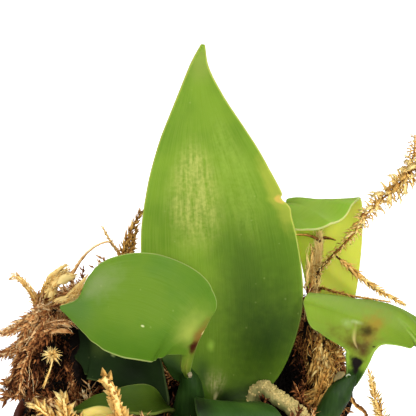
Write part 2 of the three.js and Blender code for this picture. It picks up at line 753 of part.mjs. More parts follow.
function buildOrchid() {
  const stemRoom = wasm.Manifold.union(limbs.map((limb) => limbSolid(limb, clearance)));
  const leafRoom = wasm.Manifold.union(leaves.map((leaf) => leafSolid(leaf, clearance)));
  const plantRoom = stemRoom.add(leafRoom);
  const strandRooms = wasm.Manifold.union(strands.flatMap(({ stems }) => stems.map(stemRoomInBed)));

  addMesh('pot', makePot(), 0x5d2f1f, 0.35);
  for (const limb of limbs) {
    addMesh(limb.name, limbSolid(limb), limb.colour, 0.45);
  }
  for (const leaf of leaves) {
    addMesh(leaf.name, largestBody(leafSolid(leaf).subtract(stemRoom)), leaf.colour, 0.4);
  }
  for (const strand of strands) {
    addMesh(strand.name, largestBody(strandSolid(strand).subtract(plantRoom)), 0xb08a4a, 0.9);
  }
  const bedSolid = wasm.Manifold.union([mossFill(), mossHeap(), mossBristles()])
    .subtract(plantRoom)
    .subtract(strandRooms);
  addMesh('moss_bed', largestBody(bedSolid), 0x7d5a2c, 0.95);
}

buildOrchid();

export default assembly;
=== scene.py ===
import math
import random

import bpy
import numpy as np
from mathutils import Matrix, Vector, noise
from mathutils.bvhtree import BVHTree


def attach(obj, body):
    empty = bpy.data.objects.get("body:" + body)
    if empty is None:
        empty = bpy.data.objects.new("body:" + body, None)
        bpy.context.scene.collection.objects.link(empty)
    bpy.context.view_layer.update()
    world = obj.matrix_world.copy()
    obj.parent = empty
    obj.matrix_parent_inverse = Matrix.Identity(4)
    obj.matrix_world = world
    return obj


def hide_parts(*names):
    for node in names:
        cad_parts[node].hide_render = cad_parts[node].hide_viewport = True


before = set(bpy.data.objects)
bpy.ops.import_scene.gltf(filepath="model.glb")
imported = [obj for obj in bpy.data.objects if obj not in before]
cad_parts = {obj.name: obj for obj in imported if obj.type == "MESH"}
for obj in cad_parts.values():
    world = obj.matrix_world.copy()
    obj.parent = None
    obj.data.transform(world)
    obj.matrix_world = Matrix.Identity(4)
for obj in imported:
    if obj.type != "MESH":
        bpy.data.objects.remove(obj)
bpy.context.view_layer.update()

mm = 0.001  # every list of places and sizes below is in millimetres
print("frame loaded:", len(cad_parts), "nodes")


# Camera, lights and floor

camera = {
    "imageSize": 416, "focalPixels": 1579, "sensor": 36,
    "elevation": 22,  # degrees that it looks down
    "target": (8.3, 0, 151.8), "distance": 445,
}

lights = {
    "keyRight": {"from": (440, -510, 320), "size": 130, "power": 2.6, "colour": (1, 0.985, 0.95)},
    "softFront": {"from": (60, -640, 420), "size": 260, "power": 2.2, "colour": (1, 0.98, 0.94)},
    "softLeft": {"from": (-480, -420, 640), "size": 460, "power": 2.8, "colour": (1, 0.98, 0.95)},
    "topBack": {"from": (120, 420, 720), "size": 500, "power": 4, "colour": (0.97, 0.98, 1)},
}

room = {
    "background": (1, 1, 1, 1), "ambient": 0.17,
    "floorHalf": 3000, "floorColour": (0.8, 0.8, 0.79, 1), "floorRoughness": 0.9, "floorGlow": 0.12,
}


def addObject(name, data):
    made = bpy.data.objects.new(name, data)
    bpy.context.scene.collection.objects.link(made)
    return made


def setCamera():
    tilt = math.radians(camera["elevation"])
    made = addObject("camera", bpy.data.cameras.new("camera"))
    made.data.sensor_width = camera["sensor"]
    made.data.lens = camera["sensor"] * camera["focalPixels"] / camera["imageSize"]
    back = Vector((0, -math.cos(tilt), math.sin(tilt)))
    made.location = (Vector(camera["target"]) + back * camera["distance"]) * mm
    made.rotation_euler = (math.pi / 2 - tilt, 0, 0)
    bpy.context.scene.camera = made


def setLights():
    for name, look in lights.items():
        lamp = bpy.data.lights.new(name, "AREA")
        lamp.shape = "DISK"
        lamp.size = look["size"] * mm
        lamp.energy = look["power"]
        lamp.color = look["colour"]
        made = addObject(name, lamp)
        made.location = Vector(look["from"]) * mm
        aim = Vector(camera["target"]) - Vector(look["from"])
        made.rotation_euler = aim.to_track_quat("-Z", "Y").to_euler()


def put(tree, kind, inputs=None, **settings):  # adds one shader node; inputs are values or sockets
    made = tree.nodes.new("ShaderNode" + kind)
    for name, value in settings.items():
        setattr(made, name, value)
    for name, value in (inputs or {}).items():
        if isinstance(value, bpy.types.NodeSocket):
            tree.links.new(value, made.inputs[name])
        else:
            made.inputs[name].default_value = value
    return made


def maths(tree, operation, *values):
    return put(tree, "Math", dict(enumerate(values)), operation=operation).outputs[0]


def plus(tree, first, second):
    return maths(tree, "ADD", first, second)


def times(tree, first, second):
    return maths(tree, "MULTIPLY", first, second)


def mixed(tree, factor, first, second):  # two colours mixed by a factor
    return put(tree, "Mix", {0: factor, 6: first, 7: second}, data_type="RGBA").outputs[2]


def ranged(tree, value, low, high, newLow=0.0, newHigh=1.0):
    inputs = {0: value, 1: low, 2: high, 3: newLow, 4: newHigh}
    return put(tree, "MapRange", inputs, interpolation_type="SMOOTHSTEP").outputs[0]


def paint(hexCode):  # a screen colour such as 8aab40, as a linear colour
    shares = [int(hexCode[k:k + 2], 16) / 255 for k in (0, 2, 4)]
    return tuple(s / 12.92 if s <= 0.04045 else ((s + 0.055) / 1.055) ** 2.4 for s in shares) + (1,)


def newMaterial(name, fixed):  # fixed holds the values that are the same all over
    material = bpy.data.materials.new(name)
    material.use_nodes = True
    shader = material.node_tree.nodes["Principled BSDF"]
    for title, value in fixed.items():
        shader.inputs[title].default_value = value
    return material, material.node_tree


def dress(material, colour, rough=None, relief=None):  # what changes over the surface
    tree = material.node_tree
    shader = tree.nodes["Principled BSDF"].inputs
    tree.links.new(colour, shader["Base Color"])
    if rough is not None:
        tree.links.new(rough, shader["Roughness"])
    if relief is not None:
        bump = put(tree, "Bump", dict(zip(("Strength", "Distance", "Height"), relief)))
        tree.links.new(bump.outputs[0], shader["Normal"])
    return material


def seenDirectly(tree, elsewhere):  # full for the camera, less for the light that falls on things
    return ranged(tree, put(tree, "LightPath").outputs["Is Camera Ray"], 0, 1, elsewhere, 1)


def setRoom():
    scene = bpy.context.scene
    scene.view_settings.view_transform = "Standard"
    scene.world = bpy.data.worlds.new("room")
    scene.world.use_nodes = True
    tree = scene.world.node_tree
    tree.nodes.clear()
    strength = seenDirectly(tree, room["ambient"])
    glow = put(tree, "Background", {"Color": room["background"], "Strength": strength})
    put(tree, "OutputWorld", {"Surface": glow.outputs[0]})
    half = room["floorHalf"] * mm
    mesh = bpy.data.meshes.new("floor")
    corners = [(-half, -half, 0), (half, -half, 0), (half, half, 0), (-half, half, 0)]
    mesh.from_pydata(corners, [], [(0, 1, 2, 3)])
    material, tree = newMaterial("floorPaint", {
        "Base Color": room["floorColour"], "Roughness": room["floorRoughness"],
        "Emission Color": room["background"]})
    shader = tree.nodes["Principled BSDF"]
    tree.links.new(seenDirectly(tree, room["floorGlow"]), shader.inputs["Emission Strength"])
    mesh.materials.append(material)
    floor = addObject("floor", mesh)


setCamera()
setLights()
setRoom()
print("camera, lights and floor are set")


# Lines and meshes

def smoothLine(points, shares):  # a smooth line through all the points
    points = np.array(points, float)
    ends = np.vstack([2 * points[0] - points[1], points, 2 * points[-1] - points[-2]])
    place = np.asarray(shares, float) * (len(points) - 1)
    first = np.clip(place.astype(int), 0, len(points) - 2)
    w = (place - first)[:, None]
    a, b, c, d = (ends[first + k] for k in range(4))
    return b + w * ((c - a) / 2 + w * (a - 2.5 * b + 2 * c - d / 2 + w * (1.5 * (b - c) + (d - a) / 2)))


def evenLine(points, count):  # the same line with its points evenly spaced
    fine = smoothLine(points, np.linspace(0, 1, 10 * len(points)))
    run = np.concatenate([[0], np.cumsum(np.linalg.norm(np.diff(fine, axis=0), axis=1))])
    at = np.linspace(0, run[-1], count)
    return np.stack([np.interp(at, run, fine[:, k]) for k in range(3)], axis=1)


def lineLength(points):
    return float(np.linalg.norm(np.diff(np.array(points, float), axis=0), axis=1).sum())


def readAlong(values, shares):  # a list of values, read at any shares of its length
    return np.interp(shares, np.linspace(0, 1, len(values)), values)


def unit(vectors):
    return vectors / np.maximum(np.linalg.norm(vectors, axis=-1, keepdims=True), 1e-9)


def squareTo(vectors, axes):  # unit vectors with their share along the axes taken out
    return unit(vectors - axes * (vectors * axes).sum(axis=1, keepdims=True))


def drawn(count, pick):  # random values in a row
    return np.array([pick() for _ in range(count)])


def framesAlong(line):  # forward, side and up directions that turn no more than the line does
    forward = unit(np.gradient(line, axis=0))
    side = np.cross(forward[0], (0, 0, 1) if abs(forward[0][2]) < 0.9 else (1, 0, 0))
    sides = []
    for direction in forward:
        side = unit(side - direction * side.dot(direction))
        sides.append(side)
    sides = np.array(sides)
    return forward, sides, np.cross(forward, sides)


def newBag():  # a mesh that is still being gathered
    return {"verts": [], "faces": [], "tone": [], "place": [], "count": 0}


def addPart(bag, verts, faces, tone, place=(0, 0, 0)):
    bag["verts"].append(verts)
    bag["faces"] += [np.asarray(kind) + bag["count"] for kind in faces]
    bag["tone"].append(np.broadcast_to(tone, len(verts)))
    bag["place"].append(np.broadcast_to(place, (len(verts), 3)))
    bag["count"] += len(verts)


def ringFaces(rings, size, turned=False):  # quads between closed rings, and a cap on each end
    start = np.arange(rings - 1)[:, None] * size
    k = np.arange(size)
    after = (k + 1) % size
    quads = np.stack([start + k, start + after, start + size + after, start + size + k], axis=-1)
    kinds = [quads.reshape(-1, 4), k[None, ::-1], (k + (rings - 1) * size)[None, :]]
    return [kind[:, ::-1] for kind in kinds] if turned else kinds


def addTube(bag, line, radii, sides=6, tone=0.5, lumps=0.0, draw=None):
    count = len(line)
    shares = np.linspace(0, 1, count)
    radius = readAlong(radii, shares)[:, None]
    if lumps:
        uneven = drawn(count * sides, lambda: draw.uniform(-1, 1)).reshape(count, sides)
        radius = radius * (1 + lumps * uneven)
    _, side, up = framesAlong(line)
    angle = 2 * np.pi * np.arange(sides) / sides
    around = np.cos(angle)[None, :, None] * side[:, None] + np.sin(angle)[None, :, None] * up[:, None]
    verts = line[:, None] + np.broadcast_to(radius, (count, sides))[..., None] * around
    place = np.stack([np.repeat(shares, sides), np.tile(angle, count), around[..., 2].ravel()], axis=1)
    addPart(bag, verts.reshape(-1, 3), ringFaces(count, sides), tone, place)


def addBlades(bag, feet, ahead, face, length, width, bend, tone, stations):
    # small keeled leaves, all at once: a foot, left edge, right edge and keel at each station, and a tip
    count = len(feet)
    length, width, bend = (np.broadcast_to(v, count)[:, None] for v in (length, width, bend))
    keel, droop = 0.45, 0.3
    side = np.cross(ahead, face)
    points = [feet]
    for share, wide in stations:
        middle = feet + ahead * share * length - face * bend * length * share ** 2
        half = width * wide / 2
        points += [middle + side * half, middle - side * half, middle - face * half * keel]
    points.append(feet + ahead * length * (1 - droop * np.abs(bend)) - face * bend * length)
    size = len(points)
    tip, b = size - 1, size - 4
    triangles = [(0, 1, 2), (0, 3, 1), (0, 2, 3), (b, tip, b + 1), (b + 2, tip, b), (b + 1, tip, b + 2)]
    quads = []
    for b in range(1, size - 4, 3):
        quads += [(b, b + 3, b + 4, b + 1), (b + 2, b + 5, b + 3, b), (b + 1, b + 4, b + 5, b + 2)]
    start = (np.arange(count) * size)[:, None, None]
    faces = [(np.array(kind)[None] + start).reshape(-1, len(kind[0])) for kind in (triangles, quads) if kind]
    place = np.zeros((count * size, 3))
    place[:, 0] = np.tile([0] + [share for share, _ in stations for _ in range(3)] + [1], count)
    place[:, 1] = 1
    verts = np.stack(points, axis=1).reshape(-1, 3)
    addPart(bag, verts, faces, np.repeat(np.broadcast_to(tone, count), size), place)


def bagMesh(name, bag):
    mesh = bpy.data.meshes.new(name)
    faces = [face for kind in bag["faces"] for face in kind.tolist()]
    mesh.from_pydata((np.concatenate(bag["verts"]) * mm).tolist(), [], faces)
    return mesh


def makePiece(name, bag, material, nodes=()):
    mesh = bagMesh(name, bag)
    tone = mesh.attributes.new("tone", "FLOAT", "POINT")
    tone.data.foreach_set("value", np.concatenate(bag["tone"]))
    place = mesh.attributes.new("place", "FLOAT_VECTOR", "POINT")
    place.data.foreach_set("vector", np.concatenate(bag["place"]).astype(float).ravel())
    mesh.shade_smooth()
    mesh.materials.append(material)
    piece = addObject(name, mesh)
    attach(piece, "root")
    if nodes:
        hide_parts(*nodes)
    print("made", name, "with", len(mesh.polygons), "faces")
    return piece


# Shader groups that several materials share

def newGroup(name, inputs, output):  # inputs holds each name and the value it starts with
    group = bpy.data.node_groups.new(name, "ShaderNodeTree")
    for title, value in inputs.items():
        kind = "NodeSocketVector" if isinstance(value, tuple) else "NodeSocketFloat"
        group.interface.new_socket(title, in_out="INPUT", socket_type=kind).default_value = value
    group.interface.new_socket(output, in_out="OUTPUT", socket_type="NodeSocketFloat")
    return group, group.nodes.new("NodeGroupInput").outputs, group.nodes.new("NodeGroupOutput").inputs[output]


def useGroup(tree, group, inputs):
    return put(tree, "Group", inputs, node_tree=group).outputs[0]


def objectPlace(tree):
    return put(tree, "TexCoord").outputs["Object"]


def veinGroup():  # fine lines that run from a leaf's foot to its tip
    inputs = {"Place": (0, 0, 0), "Across": 60.0, "Along": 3.0, "Seed": 0.0}
    group, given, out = newGroup("veinLines", inputs, "Lines")
    parts = put(group, "SeparateXYZ", {0: given["Place"]}).outputs
    stretched = put(group, "CombineXYZ", {0: times(group, parts[0], given["Across"]),
                                          1: times(group, parts[1], given["Along"]), 2: given["Seed"]})
    lines = put(group, "TexNoise", {"Vector": stretched.outputs[0], "Scale": 1.0, "Detail": 3.0})
    group.links.new(ranged(group, lines.outputs[0], 0.3, 0.7), out)
    return group


def spotGroup():  # a soft round spot at one place on a leaf
    inputs = {"Place": (0, 0, 0), "Centre": (0, 0, 0), "Size": (1, 1, 1), "Ragged": 0.2, "Core": 0.35}
    group, given, out = newGroup("leafSpot", inputs, "Mask")
    away = given["Place"]
    for operation, other in (("SUBTRACT", given["Centre"]), ("DIVIDE", given["Size"]),
                             ("MULTIPLY", (1, 1, 0))):  # the last leaves out upper and under
        away = put(group, "VectorMath", {0: away, 1: other}, operation=operation).outputs[0]
    distance = put(group, "VectorMath", {0: away}, operation="LENGTH").outputs["Value"]
    edge = put(group, "TexNoise", {"Vector": objectPlace(group), "Scale": 420.0, "Detail": 3.0}).outputs[0]
    wobble = times(group, maths(group, "SUBTRACT", edge, 0.5), given["Ragged"])
    left = maths(group, "SUBTRACT", 1.0, plus(group, distance, wobble))
    inside = maths(group, "DIVIDE", left, maths(group, "SUBTRACT", 1.0, given["Core"]))
    group.links.new(ranged(group, inside, 0.0, 1.0), out)
    return group


def cloudGroup():  # slow changes over a surface; the larger the scale, the finer they are
    group, given, out = newGroup("cloud", {"Scale": 100.0, "Low": 0.35, "High": 0.65}, "Value")
    inputs = {"Vector": objectPlace(group), "Scale": given["Scale"], "Detail": 4.0}
    spread = put(group, "TexNoise", inputs).outputs[0]
    group.links.new(ranged(group, spread, given["Low"], given["High"]), out)
    return group


veinLines = veinGroup()
leafSpot = spotGroup()
cloud = cloudGroup()


def clouds(tree, scale, low=0.35, high=0.65):
    return useGroup(tree, cloud, {"Scale": scale, "Low": low, "High": high})


def veined(tree, place, across, along, seed=0.0):
    return useGroup(tree, veinLines, {"Place": place, "Across": across, "Along": along, "Seed": seed})


def mark(tree, name, output="Vector"):  # a value that the mesh carries
    return put(tree, "Attribute", attribute_name=name, attribute_type="GEOMETRY").outputs[output]


# The pot

pot = {
    "height": 85, "rimRadius": 50, "bodyRadius": 46.8, "baseRadius": 36, "lipHeight": 8,
    "wall": 1.7, "lipWall": 2.4, "edgeRound": 1, "floor": 2.5, "centre": 0.5,
    "holeRadius": 3.5, "holeRing": 24, "holeCount": 8, "holeSides": 32, "sides": 144,
    "colour": "6a3320", "deepColour": "471f12", "dustColour": "8a6a52", "dust": 0.25,
    "roughness": 0.36, "unevenness": 0.14, "patchScale": 60, "grainScale": 900, "relief": (0.15, 0.0002),
}


def roundedSection(corners, cut, steps=4):  # a section with its corners rounded off
    corners = np.array(corners, float)
    points = [corners[0]]
    for before, corner, after in zip(corners, corners[1:], corners[2:]):
        back, ahead = unit(before - corner), unit(after - corner)
        reach = min(cut, np.linalg.norm(before - corner) / 2.1, np.linalg.norm(after - corner) / 2.1)
        for w in np.linspace(0, 1, steps):
            points.append((1 - w) ** 2 * (corner + back * reach) + 2 * w * (1 - w) * corner
                          + w ** 2 * (corner + ahead * reach))
    return points + [corners[-1]]


def lathe(section, sides):
    angle = 2 * np.pi * np.arange(sides) / sides
    rings = [np.stack([r * np.cos(angle), r * np.sin(angle), np.full(sides, z)], axis=1) for r, z in section]
    return np.concatenate(rings), ringFaces(len(section), sides)


def potMaterial():
    material, tree = newMaterial("potPlastic", {"IOR": 1.5, "Specular IOR Level": 0.3})
    cloudy = clouds(tree, pot["patchScale"])
    fine = clouds(tree, pot["grainScale"], 0.5, 0.75)
    body = mixed(tree, cloudy, paint(pot["deepColour"]), paint(pot["colour"]))
    dust = times(tree, fine, times(tree, cloudy, pot["dust"]))
    colour = mixed(tree, dust, body, paint(pot["dustColour"]))
    rough = ranged(tree, cloudy, 0, 1, pot["roughness"], pot["roughness"] + pot["unevenness"])
    return dress(material, colour, rough, (*pot["relief"], fine))


def holeDrills():
    bag = newBag()
    for k in range(pot["holeCount"]):
        turn = (k + 0.5) * 2 * math.pi / pot["holeCount"]
        middle = pot["holeRing"] * np.array([math.cos(turn), math.sin(turn), 0])
        ends = np.array([middle - (0, 0, pot["floor"] + 0.5), middle + (0, 0, 3 * pot["floor"])])
        addTube(bag, ends, [pot["holeRadius"]], pot["holeSides"])
    return addObject("drills", bagMesh("drills", bag))


def makePot():
    rim, body, base = pot["rimRadius"], pot["bodyRadius"], pot["baseRadius"]
    top, shoulder = pot["height"], pot["height"] - pot["lipHeight"]
    corners = [(pot["centre"], 0), (base, 0), (body, shoulder), (rim, shoulder), (rim, top),
               (rim - pot["lipWall"], top), (body - pot["wall"], shoulder - 1),
               (base - pot["wall"], pot["floor"]), (pot["centre"], pot["floor"])]
    bag = newBag()
    addPart(bag, *lathe(roundedSection(corners, pot["edgeRound"]), pot["sides"]), 0.5)
    piece = makePiece("potShell", bag, potMaterial(), ["pot"])
    cutter = holeDrills()
    cut = piece.modifiers.new("holes", "BOOLEAN")
    cut.operation = "DIFFERENCE"
    cut.object = cutter
    whole = piece.evaluated_get(bpy.context.evaluated_depsgraph_get())
    drilled = bpy.data.meshes.new_from_object(whole)
    piece.modifiers.clear()
    piece.data = drilled
    bpy.data.objects.remove(cutter)


makePot()


# Leaves. A row gives a point on the midrib, the direction across to the first margin, the half widths,
# how far the margins curl up in degrees, and the thickness. A value for both sides may stand once.
# Places on a leaf run from -1 to 1 across it, and from 0 at its foot to 1 at its tip. A spot gives its
# place and its half sizes, both across and along, then its colour and strength.

plainLeaf = {
    "edge": 0.8,  # how thick the margin is
    "rounding": 0.36,  # how far in from the margin its edge is rounded
    "narrowest": 0.5, "waveScale": 0.055,
    "calmWidth": 8, "calmMiddle": 0.4,  # narrow parts and the middle ripple less
    "nicks": (),  # dents in a margin: the side, the place along, the length and the depth
}

plainSkin = {
    "shine": 0.3, "coat": 0.0, "coatRoughness": 0.3, "unevenness": 0.1, "relief": (0.22, 0.00016),
    "soft": 0.2, "softDepth": 0.0025, "softColour": (0.45, 1, 0.12),
    "veinStrength": 0.2, "veinsAlong": 9, "broadAlong": 16, "patchScale": 70, "speckleScale": 1100,
    "fleck": "b8bf78", "fleckScale": 230, "fleckSize": (0.09, 0.04), "grainScale": 1500,
    "underStrength": 0.45,
    "marginFrom": None, "spots": (),
}


def pair(value):  # one value for each side
    return tuple(value) if isinstance(value, (tuple, list)) else (value, value)


def spot(at, size, colour, strength, ragged=0.25, core=0.35, streaked=False):  # a stain, a painted shade or a painted highlight on a leaf
    return {"at": at, "size": size, "colour": colour, "strength": strength, "ragged": ragged, "core": core,
            "streaked": streaked}


def bladeRings(leaf):
    shares = np.linspace(0, 1, leaf["steps"] + 1)
    points, toMargin, halves, curls, thicks = ([row[k] for row in leaf["rows"]] for k in range(5))
    step, flattest = 1e-4, 1e-3
    centre = smoothLine(points, shares)
    tangent = unit(smoothLine(points, np.minimum(shares + step, 1))
                   - smoothLine(points, np.maximum(shares - step, 0)))
    side = squareTo(smoothLine(toMargin, shares), tangent)
    normal = np.cross(tangent, side)
    half = np.maximum(smoothLine([pair(v) for v in halves], shares), leaf["narrowest"])
    curl = np.radians(smoothLine([pair(v) for v in curls], shares))
    thick = smoothLine([(v,) for v in thicks], shares)[:, 0]
    for hand, at, length, depth in leaf["nicks"]:
        half[:, 0 if hand > 0 else 1] -= depth * np.exp(-((shares - at) / length) ** 2)
    columns = leaf["columns"]
    spread = list(np.sin(np.linspace(math.pi / 2, -math.pi / 2, columns + 1)))
    shift = Vector((leaf["seed"], 0, 0))
    upper, lower, inward = [], [], []
    for v in spread:
        hand = 0 if v > 0 else 1
        bend = np.where(np.abs(curl[:, hand]) < flattest, flattest, curl[:, hand])
        width = half[:, hand]
        out = width * np.sin(bend * v) / bend
        lift = width * (1 - np.cos(bend * v)) / bend
        face = normal * np.cos(bend * v)[:, None] - side * np.sin(bend * v)[:, None]
        inward.append((1 - abs(v)) * width)
        fromEdge = np.clip(inward[-1] / leaf["rounding"], 0, 1)
        depth = (leaf["edge"] + (thick - leaf["edge"]) * (1 - v * v)) / 2 * np.sqrt(1 - (1 - fromEdge) ** 2)
        middle = centre + side * out[:, None] + normal * lift[:, None]
        wave = np.array([noise.noise(Vector(p) * leaf["waveScale"] + shift) for p in middle])
        ripple = np.minimum(1, width / leaf["calmWidth"]) * (leaf["calmMiddle"] + abs(v)) * wave
        middle = middle + face * ripple[:, None] * leaf["wave"]
        upper.append(middle + face * depth[:, None])
        lower.append(middle - face * depth[:, None])
    ring = upper + lower[-2:0:-1]
    place = np.zeros((len(shares), len(ring), 3))
    place[..., 0] = spread + spread[-2:0:-1]
    place[..., 1] = shares[:, None]
    place[..., 2] = [0] + [1] * (columns - 1) + [0] + [-1] * (columns - 1)
    return np.stack(ring, axis=1), place, np.stack(inward + inward[-2:0:-1], axis=1)


def leafMaterial(leaf):  # place holds across, along and upper or under; tone holds how far in from the margin
    look = {**plainSkin, **leaf["look"]}
    material, tree = newMaterial(leaf["name"] + "Skin", {
        "IOR": 1.45, "Specular IOR Level": look["shine"], "Coat Weight": look["coat"],
        "Coat Roughness": look["coatRoughness"], "Subsurface Weight": look["soft"],
        "Subsurface Radius": look["softColour"], "Subsurface Scale": look["softDepth"]})
    place = mark(tree, "place")
    parts = put(tree, "SeparateXYZ", {0: place}).outputs
    veins = veined(tree, place, look["veins"], look["veinsAlong"], leaf["seed"])
    broad = veined(tree, place, look["veins"] / 4, look["broadAlong"], leaf["seed"] + 3)
    cloudy = clouds(tree, look["patchScale"])
    speckled = clouds(tree, look["speckleScale"], 0.4, 0.62)
    streaks = plus(tree, times(tree, broad, 0.75), times(tree, speckled, 0.35))
    flecks = put(tree, "TexVoronoi", {"Vector": objectPlace(tree), "Scale": look["fleckScale"]}).outputs[0]
    edge = ranged(tree, mark(tree, "tone", "Fac"), look["marginWidth"], look["marginWidth"] * 0.3)
    if look["marginFrom"]:  # it fades in along the leaf
        edge = times(tree, edge, ranged(tree, parts[1], *look["marginFrom"]))
    layers = [(veins, look["veinStrength"], look["vein"])]
    for stainOrPaintedLight in look["spots"]:
        inputs = {"Centre": (*stainOrPaintedLight["at"], 0), "Size": (*stainOrPaintedLight["size"], 1), "Ragged": stainOrPaintedLight["ragged"]}
        mask = useGroup(tree, leafSpot, {**inputs, "Place": place, "Core": stainOrPaintedLight["core"]})
        if stainOrPaintedLight["streaked"]:
            mask = times(tree, mask, streaks)
        layers.append((mask, stainOrPaintedLight["strength"], stainOrPaintedLight["colour"]))
    layers += [(ranged(tree, flecks, *look["fleckSize"]), look["flecks"], look["fleck"]),
               (ranged(tree, parts[2], 0.2, -0.6), look["underStrength"], look["under"]),
               (edge, look["marginStrength"], look["margin"])]
    colour = mixed(tree, cloudy, paint(look["deep"]), paint(look["main"]))
    for mask, strength, over in layers:
        colour = mixed(tree, times(tree, mask, strength), colour, paint(over))
    rough = plus(tree, ranged(tree, broad, 0, 1, look["rough"], look["rough"] + look["unevenness"]),
                 ranged(tree, cloudy, 0, 1, look["unevenness"] * -0.5, look["unevenness"] * 0.5))
    grain = clouds(tree, look["grainScale"], 0.2, 0.8)
    height = plus(tree, times(tree, veins, 0.5), times(tree, grain, 0.3))
    return dress(material, colour, rough, (*look["relief"], height))


def makeLeaf(leaf):
    leaf = {**plainLeaf, **leaf}
    verts, place, inward = bladeRings(leaf)
    bag = newBag()
    addPart(bag, verts.reshape(-1, 3), ringFaces(*verts.shape[:2]), inward.ravel(), place.reshape(-1, 3))
    return makePiece(leaf["name"], bag, leafMaterial(leaf), [leaf["node"]])


leafTall = {
    "name": "leafTall", "node": "leaf_tall", "slot": "leaf",
    "columns": 48, "steps": 170, "wave": 0.5, "seed": 1,
    "rows": [
        ((9.6, 2.8, 80), (-1, 0.3, 0), 3.2, 75, 3.4),
        ((10.4, 3.4, 88), (-1, 0.2, 0), 6, 62, 3.2),
        ((12, 4, 95.5), (-1, 0, 0), (15, 14.6), 36, 2.6),
        ((13, 4.6, 106), (-1, 0, 0), (20.2, 20), 26, 2.2),
        ((13, 5.6, 119), (-1, 0, 0), (23, 23.2), 20, 2),
        ((12, 6.6, 132.5), (-1, 0, 0), (23.2, 23.4), 17, 1.8),
        ((10.7, 7.7, 146.5), (-1, 0, 0), (21.8, 21.3), 15, 1.7),
        ((9, 8.6, 159.5), (-1, 0, 0), (18, 16.6), 15, 1.6),
        ((7.4, 9.3, 171), (-1, 0, 0), (12.9, 11.8), 16, 1.5),
        ((6.2, 9.7, 181.5), (-1, 0, 0), (7.1, 6.6), 20, 1.4),
        ((5.9, 10, 190), (-1, 0, 0), (3.1, 2.9), 24, 1.3),
        ((6.9, 10, 196.6), (-1, 0, 0), 0.6, 0, 1),
    ],
    "nicks": [(-1, 0.568, 0.006, 1.1), (-1, 0.548, 0.009, -0.5)],
    "look": {
        "main": "6e8e22", "deep": "5e801c", "vein": "829e3a", "under": "7a9448", "margin": "bcbc5c",
        "marginWidth": 0.38, "marginStrength": 0.65, "marginFrom": (0.26, 0.5),
        "veins": 70, "veinStrength": 0.32,
        "rough": 0.45, "coat": 0.02, "shine": 0.15, "flecks": 0.15,
        "spots": [
            # painted shade and shadow: these dark spots, from the middle down to the foot, stand for the
            # shadows cast by leafRight and leafLeft and the shade near the stem
            spot((0, 0.1), (3, 0.36), "4e6a1a", 0.8, core=0.1),
            spot((-0.3, 0.4), (0.62, 0.24), "344e0e", 0.8, core=0),
            spot((-0.8, 0.42), (0.5, 0.16), "3e5c0c", 0.7, core=0),
            spot((-0.66, 0.3), (0.8, 0.15), "1c340c", 0.85, core=0),
            spot((-0.7, 0.16), (0.8, 0.12), "2e440c", 0.8, core=0),
            spot((0.95, 0.2), (0.4, 0.1), "16300e", 0.9, ragged=0.1),
            spot((0.75, 0.12), (0.7, 0.13), "2a4a18", 0.8, core=0),
            spot((0.36, 0.195), (0.24, 0.08), "30481c", 0.85, core=0),
            spot((-0.4, 0.12), (0.8, 0.08), "142608", 0.95, core=0),
            # painted highlight: these two pale streaked spots stand for the glossy reflection on the blade
            spot((0.28, 0.6), (0.5, 0.15), "a2aa54", 1, streaked=True),
            spot((-0.4, 0.64), (0.45, 0.18), "88a23e", 0.6, streaked=True),
            spot((-0.95, 0.585), (0.22, 0.1), "a3a83e", 0.6, ragged=0.5),
            spot((-0.95, 0.568), (0.08, 0.012), "c9a850", 0.85),
            # painted highlight: the pale streaks in the channel at its foot
            spot((0.1, 0.165), (0.34, 0.07), "9a9860", 0.95, core=0, streaked=True),
            spot((0.02, 0.115), (0.12, 0.03), "c2ba80", 0.95, ragged=0.8, core=0),
            spot((0.2, 0.275), (0.09, 0.02), "86a83a", 0.85, ragged=0.8, core=0),
            spot((-0.1, 0.93), (1.4, 0.09), "8b9a44", 0.5),
        ],
    },
}

